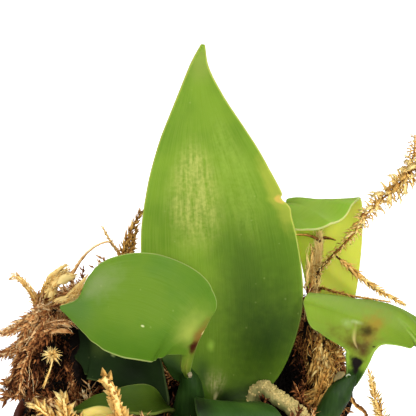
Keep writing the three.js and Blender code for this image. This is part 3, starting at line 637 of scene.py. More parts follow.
leafLeft = {
    "name": "leafLeft", "node": "leaf_left", "slot": "leaf",
    "columns": 44, "steps": 150, "wave": 0.5, "seed": 2,
    "rows": [
        ((2.4, -9.6, 103.4), (-1, 0, 0), 0.7, 60, 1.8),
        ((2, -11.8, 108), (-1, 0, 0), 1.6, 66, 2.4),
        ((2.4, -13.2, 113.4), (-0.95, -0.25, -0.1), (2.3, 2.4), 54, 2.4),
        ((1.4, -15.6, 118), (-0.9, -0.3, -0.12), (6.2, 5.6), (40, 20), 2.3),
        ((0.3, -16.5, 120.4), (-0.82, -0.36, -0.38), (9, 12), (38, 20), 2.1),
        ((-1.2, -17.2, 122.6), (-0.72, -0.42, -0.5), (10.8, 15.4), (32, 20), 2),
        ((-4, -18.1, 125.2), (-0.46, -0.55, -0.7), (12.6, 16.9), (26, 20), 1.9),
        ((-10.6, -19.4, 129.4), (-0.1, -0.55, -0.85), (14.4, 16.2), 18, 1.8),
        ((-18.2, -19.6, 131.4), (0.05, -0.5, -0.87), (13.3, 13.4), 16, 1.7),
        ((-23.4, -19.1, 131.4), (0.08, -0.5, -0.87), (10.9, 8.4), 18, 1.6),
        ((-27.2, -18.2, 130.5), (0.1, -0.5, -0.87), (7.4, 1.9), 18, 1.5),
        ((-32.6, -16.6, 128.6), (0.1, -0.5, -0.87), 0.6, 0, 1),
    ],
    "look": {
        "main": "5e7e1e", "deep": "50761a", "vein": "728e3a", "under": "7c9448", "margin": "b4bc74",
        "marginWidth": 0.3, "marginStrength": 0.55, "marginFrom": (0.16, 0.28), "veins": 60,
        "rough": 0.48, "shine": 0.1, "flecks": 0.12,
        "spots": [
            # painted shade: darker along the lower margin and just inside the curled upper margin
            spot((0.95, 0.6), (0.9, 0.5), "44690f", 0.8, core=0),
            spot((-0.9, 0.5), (0.5, 0.24), "4e7318", 0.6, core=-0.2),
            spot((0, 0.93), (1.4, 0.2), "56783a", 0.7, core=0),
            # painted sheen: the pale grey patch where the blade curls stands for a reflection
            spot((-0.5, 0.8), (0.6, 0.13), "7d8e5a", 0.7, ragged=0.6, core=0),
            spot((-0.25, 0.34), (0.8, 0.2), "9aa648", 0.9, ragged=0.4, core=-0.2),
            spot((0, 0.1), (2, 0.12), "8a9038", 0.8, core=0),
            spot((-0.8, 0.265), (0.6, 0.12), "7c6028", 1, ragged=0.7, core=0),
            spot((-0.66, 0.222), (0.75, 0.05), "421a10", 1, ragged=1, core=0.25),
            spot((0.3, 0.613), (0.03, 0.008), "c6cc8c", 0.9, ragged=0),
            spot((-0.97, 0.285), (0.09, 0.012), "dccb88", 0.9, ragged=0),
        ],
    },
}

leafRight = {
    "name": "leafRight", "node": "leaf_right", "slot": "leaf_pale",
    "columns": 44, "steps": 160, "edge": 0.9, "wave": 0.5, "seed": 3,
    "rows": [
        ((49.4, -11, 101.6), (-1, 0, 0.1), 1.4, 60, 2.4),
        ((50.6, -11, 106), (-1, 0, 0.1), (3.4, 2.4), 82, 2.8),
        ((51.6, -10.4, 109.6), (-1, 0, 0.1), (5.2, 3.2), 74, 2.6),
        ((52.2, -10, 111.6), (-1, 0, 0.1), (6.2, 3.4), (62, 66), 2.5),
        ((52.7, -9.4, 113.2), (-1, 0, 0), (13.8, 4), (8, 50), 2.4),
        ((53.4, -8.2, 115), (-0.99, -0.05, -0.09), (17.8, 6), (-4, 16), 2.2),
        ((55, -5.2, 117.8), (-0.98, -0.06, 0.06), (20.4, 14.5), (-8, -46), 1.9),
        ((57, 0, 120.7), (-0.98, -0.12, 0.25), (19.6, 18), (-28, -50), 1.8),
        ((59, 8, 117.8), (-0.98, 0, 0.2), (18, 14), (-26, -46), 1.7),
        ((62.4, 16.6, 111.4), (-0.99, 0, 0.14), (15.2, 11), (-4, -28), 1.6),
        ((66.6, 25, 104.6), (-0.99, 0, 0.14), (8.6, 7.4), 0, 1.5),
        ((70, 32, 97.4), (-0.99, 0, 0.14), 0.6, 0, 1),
    ],
    "nicks": [(-1, 0.588, 0.026, -1.2)],
    "look": {
        "main": "7c982c", "deep": "708e26", "vein": "8ca444", "under": "86a04e", "margin": "a4b45c",
        "marginWidth": 0.4, "marginStrength": 0.5, "marginFrom": (0.2, 0.4),
        "veins": 50, "veinStrength": 0.15,
        "rough": 0.5, "shine": 0.1, "flecks": 0.05, "soft": 0.3,
        "spots": [
            # painted sheen: the pale haze along the top, where the blade curves away
            spot((0.4, 0.61), (1.6, 0.07), "87995a", 0.3),
            spot((0, 0.34), (1.2, 0.26), "868a34", 0.75, ragged=0.5, core=-0.1),
            spot((0, 0.03), (3, 0.125), "24400f", 1, ragged=0.3, core=0.5),
            spot((-0.06, 0.5), (0.36, 0.16), "8e7c30", 0.9, ragged=1, core=-0.1),
            spot((-0.07, 0.55), (0.16, 0.07), "94802e", 0.95, ragged=1.2, core=0),
            spot((0.0, 0.49), (0.3, 0.06), "3a3612", 1, ragged=1, core=0),
            spot((-0.22, 0.43), (0.4, 0.08), "8a7630", 0.9, ragged=1, core=0),
            spot((0.0, 0.31), (1.1, 0.22), "4c3a10", 1, ragged=0.9, core=0),
            spot((0.2, 0.4), (0.05, 0.17), "c8b878", 0.75, ragged=0.9, core=-0.2),
            spot((0.16, 0.145), (1, 0.085), "100a08", 1, ragged=0.9, core=0.45),
            spot((-0.78, 0.386), (0.14, 0.012), "2c2c12", 0.9, ragged=0.5),
            # painted highlight: the pale arc on the ridge beside the channel
            spot((0.34, 0.5), (0.14, 0.04), "a6b67e", 0.6, ragged=1.4, core=-0.3),
            spot((0.2, 0.525), (0.12, 0.02), "b0bf90", 0.6, ragged=1.4, core=-0.3),
        ],
    },
}

leafBack = {
    "name": "leafBack", "node": "leaf_back", "slot": "leaf_yellow",
    "columns": 36, "steps": 160, "wave": 0.3, "seed": 4,
    "rows": [
        ((37.5, 18, 76), (1, 0.2, 0), 2.2, 50, 3),
        ((41, 20, 88), (1, 0.2, 0), 2.6, 60, 2.8),
        ((45, 23, 99), (1, 0, 0), 4.4, 50, 2.4),
        ((47, 27, 110.5), (1, 0, 0), (6.6, 8), 26, 2),
        ((46.4, 29.6, 122), (1, 0, 0), (8.8, 9.6), 14, 1.8),
        ((45.4, 30, 132.6), (1, 0, 0), (10.2, 11.2), 10, 1.7),
        ((44, 28.6, 140.4), (1, 0, -0.06), (10.8, 11.4), (6, -6), 1.7),
        ((41.4, 24.6, 143.9), (1, 0, 0), 11.4, (-6, -24), 1.6),
        ((37.6, 20.2, 143), (1, 0, 0), (9.4, 9), (4, -46), 1.6),
        ((33.8, 17, 141.3), (1, 0, 0), 5.6, (6, -32), 1.4),
        ((30.2, 14.4, 139.8), (1, 0, 0), 0.6, 0, 1),
    ],
    "look": {
        "main": "84a034", "deep": "7c9a30", "vein": "96ae48", "under": "b4ba48", "margin": "c8cc8c",
        "marginWidth": 0.45, "marginStrength": 0.7, "veins": 36,
        "rough": 0.6, "shine": 0.12, "flecks": 0.06, "soft": 0.6, "softDepth": 0.005,
        "spots": [
            # painted light: this broad pale yellow spot, with the under colour, a paler underside made
            # brighter still, stands for light shining through the leaf from behind
            spot((0, 0.34), (2.6, 0.38), "dcd65a", 1),
            spot((0.9, 0.56), (0.5, 0.07), "c99a48", 0.5, ragged=0.5),
        ],
    },
}

leafLow = {
    "name": "leafLow", "node": "leaf_low", "slot": "leaf_dark",
    "columns": 30, "steps": 90, "wave": 0.3, "seed": 5,
    "rows": [
        ((-3.4, -8, 91.4), (0.6, -0.8, 0), 2.4, 70, 2.8),
        ((-6.4, -11.6, 95.4), (0.3, -0.95, 0), (6, 7), 40, 2.4),
        ((-11, -15, 97.4), (0.1, -1, 0.04), 8.4, 18, 2),
        ((-17.4, -18, 99), (0, -1, 0.12), (8, 7.4), 10, 1.7),
        ((-24.2, -19.4, 99.6), (0, -1, 0.14), 5, 10, 1.5),
        ((-31, -19.6, 97.2), (0, -1, 0.1), 0.6, 0, 1),
    ],
    "look": {
        "main": "425812", "deep": "364c10", "vein": "526622", "under": "4e5c28", "margin": "76823c",
        "marginWidth": 0.6, "marginStrength": 0.7, "veins": 36,
        "rough": 0.55, "shine": 0.08, "flecks": 0.08,
    },
}

leafShaded = {
    "name": "leafShaded", "node": "leaf_shaded", "slot": "leaf_dark",
    "columns": 34, "steps": 100, "wave": 0.4, "seed": 6,
    "rows": [
        ((-4.6, 1, 84), (-0.6, -0.6, -0.5), 2.2, 70, 2.8),
        ((-8, 4.4, 91), (-0.4, -0.6, -0.7), 4.6, 46, 2.4),
        ((-13, 7, 97), (-0.2, -0.6, -0.8), (8.6, 8.4), 24, 2),
        ((-19.5, 8.4, 102), (0, -0.5, -0.86), (10.4, 9.6), 14, 1.7),
        ((-26, 8, 105.4), (0.1, -0.5, -0.86), (11.4, 6.4), 14, 1.5),
        ((-30, 7, 105.4), (0.1, -0.5, -0.86), (9.4, 4.4), 10, 1.3),
        ((-32.2, 6.4, 105), (0.1, -0.5, -0.86), (4, 2), 6, 1),
    ],
    # painted shade: its near-black greens stand for the shadow of leafLeft over it; of the spots, the first
    # two are lighter where light still reaches it, the last darker still
    "look": {
        "main": "1c2e0f", "deep": "14240a", "vein": "223616", "under": "1c2c10", "margin": "56663a",
        "marginWidth": 0.5, "marginStrength": 0.6, "veins": 40,
        "rough": 0.6, "shine": 0.08, "flecks": 0.05, "soft": 0.05,
        "spots": [
            spot((0.02, 0.617), (0.5, 0.12), "4a5c26", 0.9, core=-0.2),
            spot((0.12, 0.504), (0.07, 0.025), "8a9a5c", 0.8, core=0),
            spot((0.2, 0.34), (0.9, 0.17), "0c1606", 0.8, core=0),
        ],
    },
}

leafFront = {
    "name": "leafFront", "node": "leaf_front", "slot": "leaf_dark",
    "columns": 36, "steps": 120, "wave": 0.5, "seed": 7,
    "rows": [
        ((9.8, -8.6, 84), (1, 0.3, 0), 2.4, 76, 3),
        ((11.6, -11.8, 91.6), (1, 0.2, 0), 4.6, 52, 2.6),
        ((13.8, -16.6, 98), (1, 0.1, -0.12), (8.6, 9.8), 18, 2.2),
        ((16.6, -24.6, 101), (1, 0.1, -0.14), (10.8, 12.6), 6, 1.9),
        ((18.8, -33.5, 100.4), (1, 0.1, -0.12), (11, 12.6), 4, 1.8),
        ((20.6, -42.2, 97), (1, 0.1, -0.08), (9.4, 10.2), 6, 1.6),
        ((21.8, -50, 90.4), (1, 0.1, 0), 6, 10, 1.5),
        ((22.4, -55.5, 82), (1, 0.1, 0), 0.6, 0, 1),
    ],
    "look": {
        "main": "335816", "deep": "2a4c13", "vein": "456a2a", "under": "506830", "margin": "46642c",
        "marginWidth": 0.4, "marginStrength": 0.4, "veins": 44,
        "rough": 0.42, "coat": 0.06, "flecks": 0.1,
        "spots": [
            # painted shade: the near-black spot along its left margin, where it runs into shade
            spot((-0.95, 0.42), (0.55, 0.16), "0e1c06", 1, core=0.2),
            spot((0.35, 0.4), (0.5, 0.12), "4c7022", 0.8, core=0),
        ],
    },
}

leafDry = {
    "name": "leafDry", "node": "leaf_dry", "slot": "leaf_dry",
    "columns": 30, "steps": 60, "edge": 0.7, "wave": 0.8, "seed": 8,
    "rows": [
        ((-12, -28, 90), (0.1, -0.7, 0.7), 2.6, 95, 1.2),
        ((-16.6, -29, 99), (0.1, -0.7, 0.7), 3, 110, 1),
        ((-21, -29.6, 102), (0, -0.7, 0.7), 3.2, 115, 1),
        ((-26, -29.4, 101.4), (0, -0.7, 0.7), 2.4, 110, 1),
    ],
    "look": {
        "main": "d6c266", "deep": "a88f3c", "vein": "e4d690", "under": "c8b050", "margin": "7a8a3a",
        "marginWidth": 0.5, "marginStrength": 0.8, "veins": 22, "veinStrength": 0.6,
        "rough": 0.6, "coat": 0.05, "flecks": 0, "soft": 0.4,
    },
}

leafList = [leafTall, leafLeft, leafRight, leafBack, leafLow, leafShaded, leafFront, leafDry]
leaves = [makeLeaf(leaf) for leaf in leafList]


# Stems and the aerial root

stems = {
    "stemLeft": {
        "node": "stem_left", "sides": 28, "count": 70,
        "radii": [4.2, 5, 5.6, 6, 5.6, 5, 4.2, 3, 0.8],
        "line": [(0, -5, 58), (1.4, -5.6, 76), (2.2, -5, 85), (3, -5, 92.5), (3.2, -6.2, 99),
                 (2.6, -7.4, 103), (2.2, -8.4, 106)],
    },
    "stemRight": {
        "node": "stem_right", "sides": 24, "count": 60,
        "radii": [3, 3.3, 3.5, 3.4, 3.2, 3.3, 3.5, 3.6, 2.2, 0.8],
        "line": [(33, -16, 64), (37.6, -15, 78), (41.3, -12.6, 88.8), (43.9, -11.4, 94.6), (46.9, -11, 100),
                 (49.7, -10.8, 104.4), (51.2, -10.6, 108)],
    },
}

stemLook = {
    "main": "24400f", "deep": "163009", "pale": "3c5a22", "rough": 0.5, "unevenness": 0.15, "shine": 0.25,
    "patchScale": 160, "lineScale": 900, "lineStrength": 0.18, "relief": (0.3, 0.0003), "lumps": 0.012,
    "soft": 0.1, "softDepth": 0.002, "softColour": (0.4, 1, 0.15), "seed": 3,
}

root = {
    "line": [(20, -0.4, 80), (21.4, 0, 87), (22.6, 0, 92.4), (25, -1.6, 94.8), (28.2, -7, 95.2),
             (33.2, -13.5, 94.4), (37, -18.6, 91.4), (38.4, -22, 82)],
    "radii": [1.5, 1.8, 2.5, 2.3, 2.2, 2.3, 2.2, 2, 1.6],
    "waves": [(0.05, 40), (0.04, 93)],  # how strong and how close its slow swellings are
    "sides": 20, "count": 110, "knobs": 0.07, "seed": 12,
    "grains": 420, "grainSize": (0.2, 0.5), "grainLean": (-0.1, 0.6), "grainTone": (0.4, 1),
    "grainSteps": (0, 0.7, 1.2, 1.6), "grainRadii": (1, 1, 0.8, 0.2), "grainSunk": 0.9,
    "bareEnds": (14, 8),  # points at its ends that have no grains
    "body": "92955a", "top": "dcc482", "dark": "7c8048", "rough": (0.55, 0.85), "relief": (0.3, 0.0003),
    "patchScale": 260, "grainScale": 1400,
}

scraps = {  # small dry knobs and scales on the stems: line, radii, colour
    "knob": ([(2.6, -10.6, 105.4), (3.1, -11.4, 105.2), (3, -11.3, 104.1)], [0.45, 0.72, 0.45], "a39a78"),
    "curl": ([(6.6, -31, 100.6), (7.3, -31.2, 100.3), (7.6, -31, 98.8), (7.2, -30.8, 97.6),
              (7.9, -30.6, 96.6)], [0.15, 0.28, 0.32, 0.2], "c9b47c"),
    "nub": ([(47.4, -12, 105.8), (46, -12, 105.2), (45, -11.5, 103.9), (44.5, -11, 103)],
            [0.5, 1.1, 0.8, 0.4], "8f7f50"),
    "fleck": ([(47.4, -14.6, 106.1), (48.1, -14.8, 106.8), (48.8, -14.6, 106.4)],
              [0.12, 0.25, 0.12], "a8b498"),
}
scrapLook = {"rough": 0.7, "soft": 0.2, "darker": 0.6, "patchScale": 900, "points": 14, "sides": 10,
             "lumps": 0.14, "seed": 5}


def stemMaterial():
    material, tree = newMaterial("stemSkin", {
        "IOR": 1.45, "Specular IOR Level": stemLook["shine"], "Subsurface Weight": stemLook["soft"],
        "Subsurface Radius": stemLook["softColour"], "Subsurface Scale": stemLook["softDepth"]})
    cloudy = clouds(tree, stemLook["patchScale"])
    lines = veined(tree, objectPlace(tree), stemLook["lineScale"], stemLook["lineScale"])
    colour = mixed(tree, cloudy, paint(stemLook["deep"]), paint(stemLook["main"]))
    colour = mixed(tree, times(tree, lines, stemLook["lineStrength"]), colour, paint(stemLook["pale"]))
    rough = ranged(tree, cloudy, 0, 1, stemLook["rough"], stemLook["rough"] + stemLook["unevenness"])
    return dress(material, colour, rough, (*stemLook["relief"], lines))


def rootMaterial():
    material, tree = newMaterial("rootSkin", {"IOR": 1.4})
    cloudy = clouds(tree, root["patchScale"])
    fine = clouds(tree, root["grainScale"], 0.1, 0.62)
    above = put(tree, "SeparateXYZ", {0: mark(tree, "place")}).outputs[2]
    scaly = maths(tree, "MINIMUM", plus(tree, ranged(tree, above, 0.1, 0.9), times(tree, cloudy, 0.3)), 1.0)
    colour = mixed(tree, cloudy, paint(root["dark"]), paint(root["body"]))
    colour = mixed(tree, times(tree, scaly, fine), colour, paint(root["top"]))
    colour = mixed(tree, mark(tree, "tone", "Fac"), colour, paint(root["top"]))
    return dress(material, colour, ranged(tree, fine, 0, 1, *root["rough"]), (*root["relief"], fine))


def scrapMaterial(name, colour):
    material, tree = newMaterial(name, {
        "Roughness": scrapLook["rough"], "IOR": 1.4, "Subsurface Weight": scrapLook["soft"],
        "Subsurface Radius": (1, 0.8, 0.5), "Subsurface Scale": 0.001})
    darker = tuple(c * scrapLook["darker"] for c in paint(colour)[:3]) + (1,)
    return dress(material, mixed(tree, clouds(tree, scrapLook["patchScale"]), darker, paint(colour)))


def makeStem(name, stem, material):
    bag = newBag()
    addTube(bag, evenLine(stem["line"], stem["count"]), stem["radii"], stem["sides"], 0.0, stemLook["lumps"],
            random.Random(stemLook["seed"]))
    return makePiece(name, bag, material, [stem["node"]])


def makeRoot():
    draw = random.Random(root["seed"])
    line = evenLine(root["line"], root["count"])
    shares = np.linspace(0, 1, root["count"])
    radius = readAlong(root["radii"], shares)
    radius = radius * (1 + sum(strong * np.sin(shares * close) for strong, close in root["waves"]))
    bag = newBag()
    addTube(bag, line, radius, root["sides"], 0.0, root["knobs"], draw)
    forward = framesAlong(line)[0]
    first, last = root["bareEnds"]
    for _ in range(root["grains"]):  # the rough tan crust along its upper side
        k = draw.randrange(first, root["count"] - last)
        lean = draw.gauss(*root["grainLean"])
        level = unit(np.cross(forward[k], (0, 0, 1)))
        out = unit(np.cross(level, forward[k])) * math.cos(lean) + level * math.sin(lean)
        size = draw.uniform(*root["grainSize"])
        foot = radius[k] * root["grainSunk"]
        grain = np.array([line[k] + out * (foot + size * step) for step in root["grainSteps"]])
        radii = [size * share for share in root["grainRadii"]]
        addTube(bag, grain, radii, 5, draw.uniform(*root["grainTone"]), 0.2, draw)
    return makePiece("aerialRoot", bag, rootMaterial(), ["aerial_root"])


def makeScraps():
    for name, (line, radii, colour) in scraps.items():
        bag = newBag()
        addTube(bag, evenLine(line, scrapLook["points"]), radii, scrapLook["sides"], 0.0, scrapLook["lumps"],
                random.Random(scrapLook["seed"]))
        makePiece(name, bag, scrapMaterial(name + "Skin", colour))


stemSkin = stemMaterial()
stemPieces = [makeStem(name, stem, stemSkin) for name, stem in stems.items()]
aerialRoot = makeRoot()
makeScraps()


# Moss

bed = {
    "level": 86, "underside": 85.6, "edge": 45, "edgeWave": 0.9, "edgeWaves": 7,
    "edgeDrop": 0.75, "edgeSteepness": 8, "edgeHeight": 0.6, "outerSlope": 60, "lump": 1.3,
    "mounds": [  # middle, how far each mound spreads, how high it rises
        ((-34, 9), 8, 31), ((-44, 1), 5, 18), ((-25, 27), 9, 27), ((-36, -16), 7, 12), ((-22, -29), 8, 10),
        ((8, 36), 15, 17), ((36, 12), 6, 26), ((46, 11), 5, 19), ((27, 27), 9, 14), ((44, -4), 6, 7),
        ((26, -34), 10, 4), ((-27, -1), 6, -13)],
    "overhang": [(148, 26, 7), (90, 40, 6), (15, 28, 7), (-35, 20, 3)],  # towards, width, reach
    # the core's tone is painted shade: near-black, it stands for the dark gaps deep between the strands above
    # it
    "sides": 200, "rings": 70, "sunk": 2.8, "bumps": 1.8, "tone": -0.08,
    "skirt": 0.97, "skirtFarthest": 60,  # the flat underside where it lies over the pot's rim
    "gap": 0.8, "innerWall": 2.2, "neckEnd": 84, "bodyTop": 75, "bottom": 2.9,  # the fill inside the pot
    "paler": 0.008,  # how much paler the moss gets with each mm of height
    "bare": [((-32, -26, 95), (-5, 9, 119)), ((8, -20, 93), (24, 3, 100))],  # boxes the moss keeps out of
    "shadedHollows": [  # deep places whose moss gets painted shade, darker towards the middle: middle, reach each way, how dark
        ((-32, -9, 107.4), (8.5, 12, 10), 1.3), ((-33, -6, 121.6), (3, 6, 2.4), 0.5),
        ((27, 0, 98), (9, 12, 11), 1.2), ((-3, -8, 98), (12, 13, 10), 1.1)],
}

mossLook = {
    "brown": ["080402", "341a0e", "7c4828", "b67a46", "e2b478", "fae4b4"],  # evenly spaced, from dark to pale
    "straw": ["0e0804", "482c14", "905f2c", "c6944a", "eabc68", "ffe296"],
    "rough": (0.85, 0.65), "shine": 0.15, "paleTips": 0.16, "grainScale": 1200, "patchScale": 90,
    "grainTones": (-0.09, 0.07), "patchTones": (-0.07, 0.06),
}


def mossMaterial(name):
    material, tree = newMaterial(name, {"IOR": 1.35, "Specular IOR Level": mossLook["shine"]})
    fine = clouds(tree, mossLook["grainScale"], 0.3, 0.7)
    slow = clouds(tree, mossLook["patchScale"], 0.3, 0.7)
    parts = put(tree, "SeparateXYZ", {0: mark(tree, "place")}).outputs
    tip = times(tree, times(tree, parts[0], parts[1]), mossLook["paleTips"])
    finely = plus(tree, tip, ranged(tree, fine, 0, 1, *mossLook["grainTones"]))
    tone = plus(tree, mark(tree, "tone", "Fac"), finely)
    ramp = put(tree, "ValToRGB", {0: plus(tree, tone, ranged(tree, slow, 0, 1, *mossLook["patchTones"]))})
    stops = ramp.color_ramp.elements
    last = len(mossLook[name]) - 1
    for k in range(1, last):
        stops.new(k / last)
    for stop, colour in zip(stops, mossLook[name]):
        stop.color = paint(colour)
    return dress(material, ramp.outputs[0], ranged(tree, fine, 0, 1, *mossLook["rough"]))


def heapHeight(x, y):  # the top of the heaped moss
    height = bed["level"] + 0 * x
    for (mx, my), spread, rise in bed["mounds"]:
        height = height + rise * np.exp(-((x - mx) ** 2 + (y - my) ** 2) / (2 * spread * spread))
    lumps = np.sin(0.55 * x + 1.3) * np.cos(0.48 * y) + 0.6 * np.sin(0.9 * y + 0.5 * x)
    height = height + bed["lump"] * lumps
    share = np.hypot(x, y) / heapReach(np.degrees(np.arctan2(y, x)))
    rise = (height - bed["underside"]) * (1 - bed["edgeDrop"] * np.minimum(share, 1) ** bed["edgeSteepness"])
    fall = np.maximum(share - 1, 0) * bed["outerSlope"]
    return bed["underside"] + np.maximum(bed["edgeHeight"], rise) - fall


def heapReach(angle):  # how far out the heap goes, by the angle in degrees
    reach = bed["edge"] + bed["edgeWave"] * np.sin(np.radians(angle * bed["edgeWaves"]))
    for towards, width, out in bed["overhang"]:
        away = np.abs((angle - towards + 180) % 360 - 180) / width
        reach = reach + out * np.exp(-away * away)
    return reach


# painted shade: how much darker the moss is drawn in the deep places
def paintedShadeAt(points):
    dark = np.zeros(len(points))
    for middle, reach, depth in bed["shadedHollows"]:
        away = (((np.asarray(points) - middle) / reach) ** 2).sum(axis=1)
        dark += depth * np.exp(-away * away)
    return dark


def makeCore(material):
    angle = np.linspace(0, 360, bed["sides"], endpoint=False)
    east, north = np.cos(np.radians(angle)), np.sin(np.radians(angle))
    reach = heapReach(angle)
    lowest = bed["underside"]
    layers = []
    for share in np.linspace(0.01, 1, bed["rings"]):
        x, y = reach * share * east, reach * share * north
        edge = min(1, 4 * (1 - share))
        z = np.maximum(heapHeight(x, y) - bed["sunk"] * edge, lowest)
        places = map(Vector, zip(x, y, z))
        rough = np.array([noise.noise(p * 0.32) + 0.6 * noise.noise(p * 0.9) for p in places])
        layers.append(np.stack([x, y, np.maximum(z + bed["bumps"] * rough * edge, lowest - 0.1)], axis=1))
    neck = pot["rimRadius"] - pot["lipWall"] - bed["gap"]
    body, base = pot["bodyRadius"] - bed["innerWall"], pot["baseRadius"] - bed["innerWall"]
    skirt = np.minimum(reach * bed["skirt"], bed["skirtFarthest"])
    for radius, z in ((skirt, lowest - 0.2), (neck, lowest - 0.4), (neck, bed["neckEnd"]),
                      (body, bed["bodyTop"]), (base, bed["bottom"]), (pot["centre"], bed["bottom"])):
        layers.append(np.stack([radius * east, radius * north, np.full(bed["sides"], z)], axis=1))
    bag = newBag()
    addPart(bag, np.concatenate(layers), ringFaces(len(layers), bed["sides"], True), bed["tone"])
    makePiece("mossCore", bag, material, ["moss_bed"])


plainStrand = {  # what holds for every strand that doesn't say otherwise
    "from": 0, "step": 1.6, "sides": 4, "stemEnd": 0.6, "stemLumps": 0.15, "stemDarker": 0.2,
    "turn": 2.399, "turnSpread": 0.35,  # from one leaf to the next, in radians
    "wild": (0.6, 1.35), "lengths": (0.6, 1.25), "stations": ((0.3, 1.0),), "rooted": 0.5,
    "offPlane": 0.45, "offFacing": 0.4,  # how far leaves stray from a plane or a facing that is given
}


def addStrand(bag, points, look, draw, size=1.0):  # a moss stem with its leaves in a spiral or in one plane
    look = {**plainStrand, **look}
    length = lineLength(points)
    line = evenLine(points, max(6, int(length / look["step"])))
    tone, sides, stem = look["tone"], look["sides"], look["stem"]
    stemTone = look.get("stemTone", tone - look["stemDarker"]) - paintedShadeAt(line)
    addTube(bag, line, [stem * size, stem * size * look["stemEnd"]], sides, np.repeat(stemTone, sides),
            look["stemLumps"], draw)
    count = int(length * (1 - look["from"]) / look["every"])
    if count < 1:
        return
    at = np.linspace(look["from"], 1, count)
    grid = np.linspace(0, 1, len(line))
    feet, ahead, left, over = (np.stack([np.interp(at, grid, v[:, k]) for k in range(3)], axis=1)
                               for v in (line, *framesAlong(line)))
    turn = np.arange(count) * look["turn"] + drawn(count, lambda: draw.gauss(0, look["turnSpread"]))
    out = unit(np.cos(turn)[:, None] * left + np.sin(turn)[:, None] * over)
    if "plane" in look:  # the leaves stand to both sides of the stem
        hands = np.where(np.arange(count) % 2, 1, -1)[:, None]
        out = squareTo(hands * np.array(look["plane"]) + out * look["offPlane"], ahead)
    wild = drawn(count, lambda: draw.uniform(*look["wild"]))
    spread = (np.radians(look["spread"]) * wild)[:, None]
    heading = unit(ahead * np.cos(spread) + out * np.sin(spread))
    face = unit(ahead * np.sin(spread) - out * np.cos(spread))
    if "facing" in look:  # the leaves turn their upper side this way
        face = squareTo(np.array(look["facing"]) + face * look["offFacing"], heading)
    taper = readAlong(look["sizes"], at) * size
    long = look["leaf"] * taper * drawn(count, lambda: draw.uniform(*look["lengths"]))
    tones = drawn(count, lambda: draw.gauss(tone, look["toneSpread"])) - paintedShadeAt(feet)
    addBlades(bag, feet + out * stem * look["rooted"], heading, face, long, long * look["width"],
              look["bend"] * wild, tones, look["stations"])


def addFibre(bag, points, radius, tone, count):
    line = evenLine(points, count)
    addTube(bag, line, [radius, radius * 0.5], 3, np.repeat(tone - paintedShadeAt(line), 3))


ribbon = {
    "step": 0.7, "thick": 0.14, "cup": 0.25, "ends": [0.3, 1, 1, 0.8, 0.1], "widths": (0.75, 1.2),
    "twist": 0.16, "firstTwist": 0.3, "facing": (-1, 0.45), "facingSpread": 0.25, "toneSpread": 0.05,
    "section": ((-1, 0), (-0.4, 1), (0.4, 1), (1, 0), (0.4, -1), (-0.4, -1)),  # across and over
    "paleness": (1, 0.2, 0.2, 1, 0.2, 0.2),  # paler at its two margins
}


def addRibbon(bag, points, wide, tone, draw):  # a flat band that twists a little along a line
    line = evenLine(points, max(8, int(lineLength(points) / ribbon["step"])))
    count, size = len(line), len(ribbon["section"])
    forward = framesAlong(line)[0]
    facing = np.array([[draw.gauss(0, ribbon["facingSpread"]), *ribbon["facing"]]])
    over = squareTo(facing, forward)
    twist = np.cumsum(drawn(count, lambda: draw.gauss(0, ribbon["twist"])))[:, None]
    twist = twist + draw.gauss(0, ribbon["firstTwist"])
    level = np.cross(forward, over)
    across = np.cos(twist) * level + np.sin(twist) * over
    over = np.cos(twist) * over - np.sin(twist) * level
    half = readAlong(ribbon["ends"], np.linspace(0, 1, count)) * wide / 2
    half = (half * drawn(count, lambda: draw.uniform(*ribbon["widths"])))[:, None]
    rings = [line + across * half * a + over * (ribbon["thick"] * b + ribbon["cup"] * half * (1 - a * a))
             for a, b in ribbon["section"]]
    place = np.zeros((count * size, 3))
    place[:, 0] = np.tile(ribbon["paleness"], count)
    place[:, 1] = 1
    shades = tone - paintedShadeAt(line) + drawn(count, lambda: draw.gauss(0, ribbon["toneSpread"]))
    verts = np.stack(rings, axis=1).reshape(-1, 3)
    addPart(bag, verts, ringFaces(count, size), np.repeat(shades, size), place)


def addLock(bag, lock, draw):  # loose moss strands, fibres and ribbons gathered along one guide line
    lock = {**looseLock, **lock}
    stations, shortest = lock["stations"], lock["shortest"]
    guide = evenLine(lock["line"], stations)
    _, side, up = framesAlong(guide)
    grid = np.linspace(0, 1, stations)
    profile = readAlong(lock["profile"], grid)
    strands, wide = lock["strands"], lock["wide"]
    for k in range(strands + lock["fibres"] + lock["ribbons"]):
        turn = draw.uniform(0, 2 * math.pi)
        away = wide * math.sqrt(draw.random())
        out = math.cos(turn) * side + math.sin(turn) * up
        stray = np.cumsum(drawn(3 * stations, lambda: draw.gauss(0, lock["wander"])).reshape(-1, 3), axis=0)
        first = draw.randint(0, stations - shortest - 2)
        last = min(stations - 1, first + draw.randint(shortest, lock["long"]))
        opening = np.clip((grid - grid[first]) / (grid[last] - grid[first]), 0, 1) ** 2
        off = away * profile + lock["splay"] * wide * opening
        line = (guide + off[:, None] * out + stray)[first:last + 1]
        tone = draw.gauss(lock["tone"], lock["toneSpread"]) - lock["innerShade"] * (1 - away / wide)
        if not clearOf(line, lock["clear"]):
            continue
        if k < strands:
            addStrand(bag, line, dict(lock["look"], tone=tone), draw, draw.uniform(*lock["sizes"]))
        elif k < strands + lock["fibres"]:
            addFibre(bag, line, draw.uniform(*lock["fibreRadius"]), tone + lock["fibrePaler"], 2 * len(line))
        else:
            addRibbon(bag, line, draw.uniform(*lock["ribbonWidth"]), tone + lock["ribbonPaler"], draw)


def clearOf(line, gap):  # true where a line keeps out of the bare boxes and off the plant
    points = evenLine(line, 12)
    if any(((points > low) & (points < high)).all(axis=1).any() for low, high in bed["bare"]):
        return False
    return all(plant.find_nearest(Vector(p) * mm, gap * mm)[0] is None for p in points)


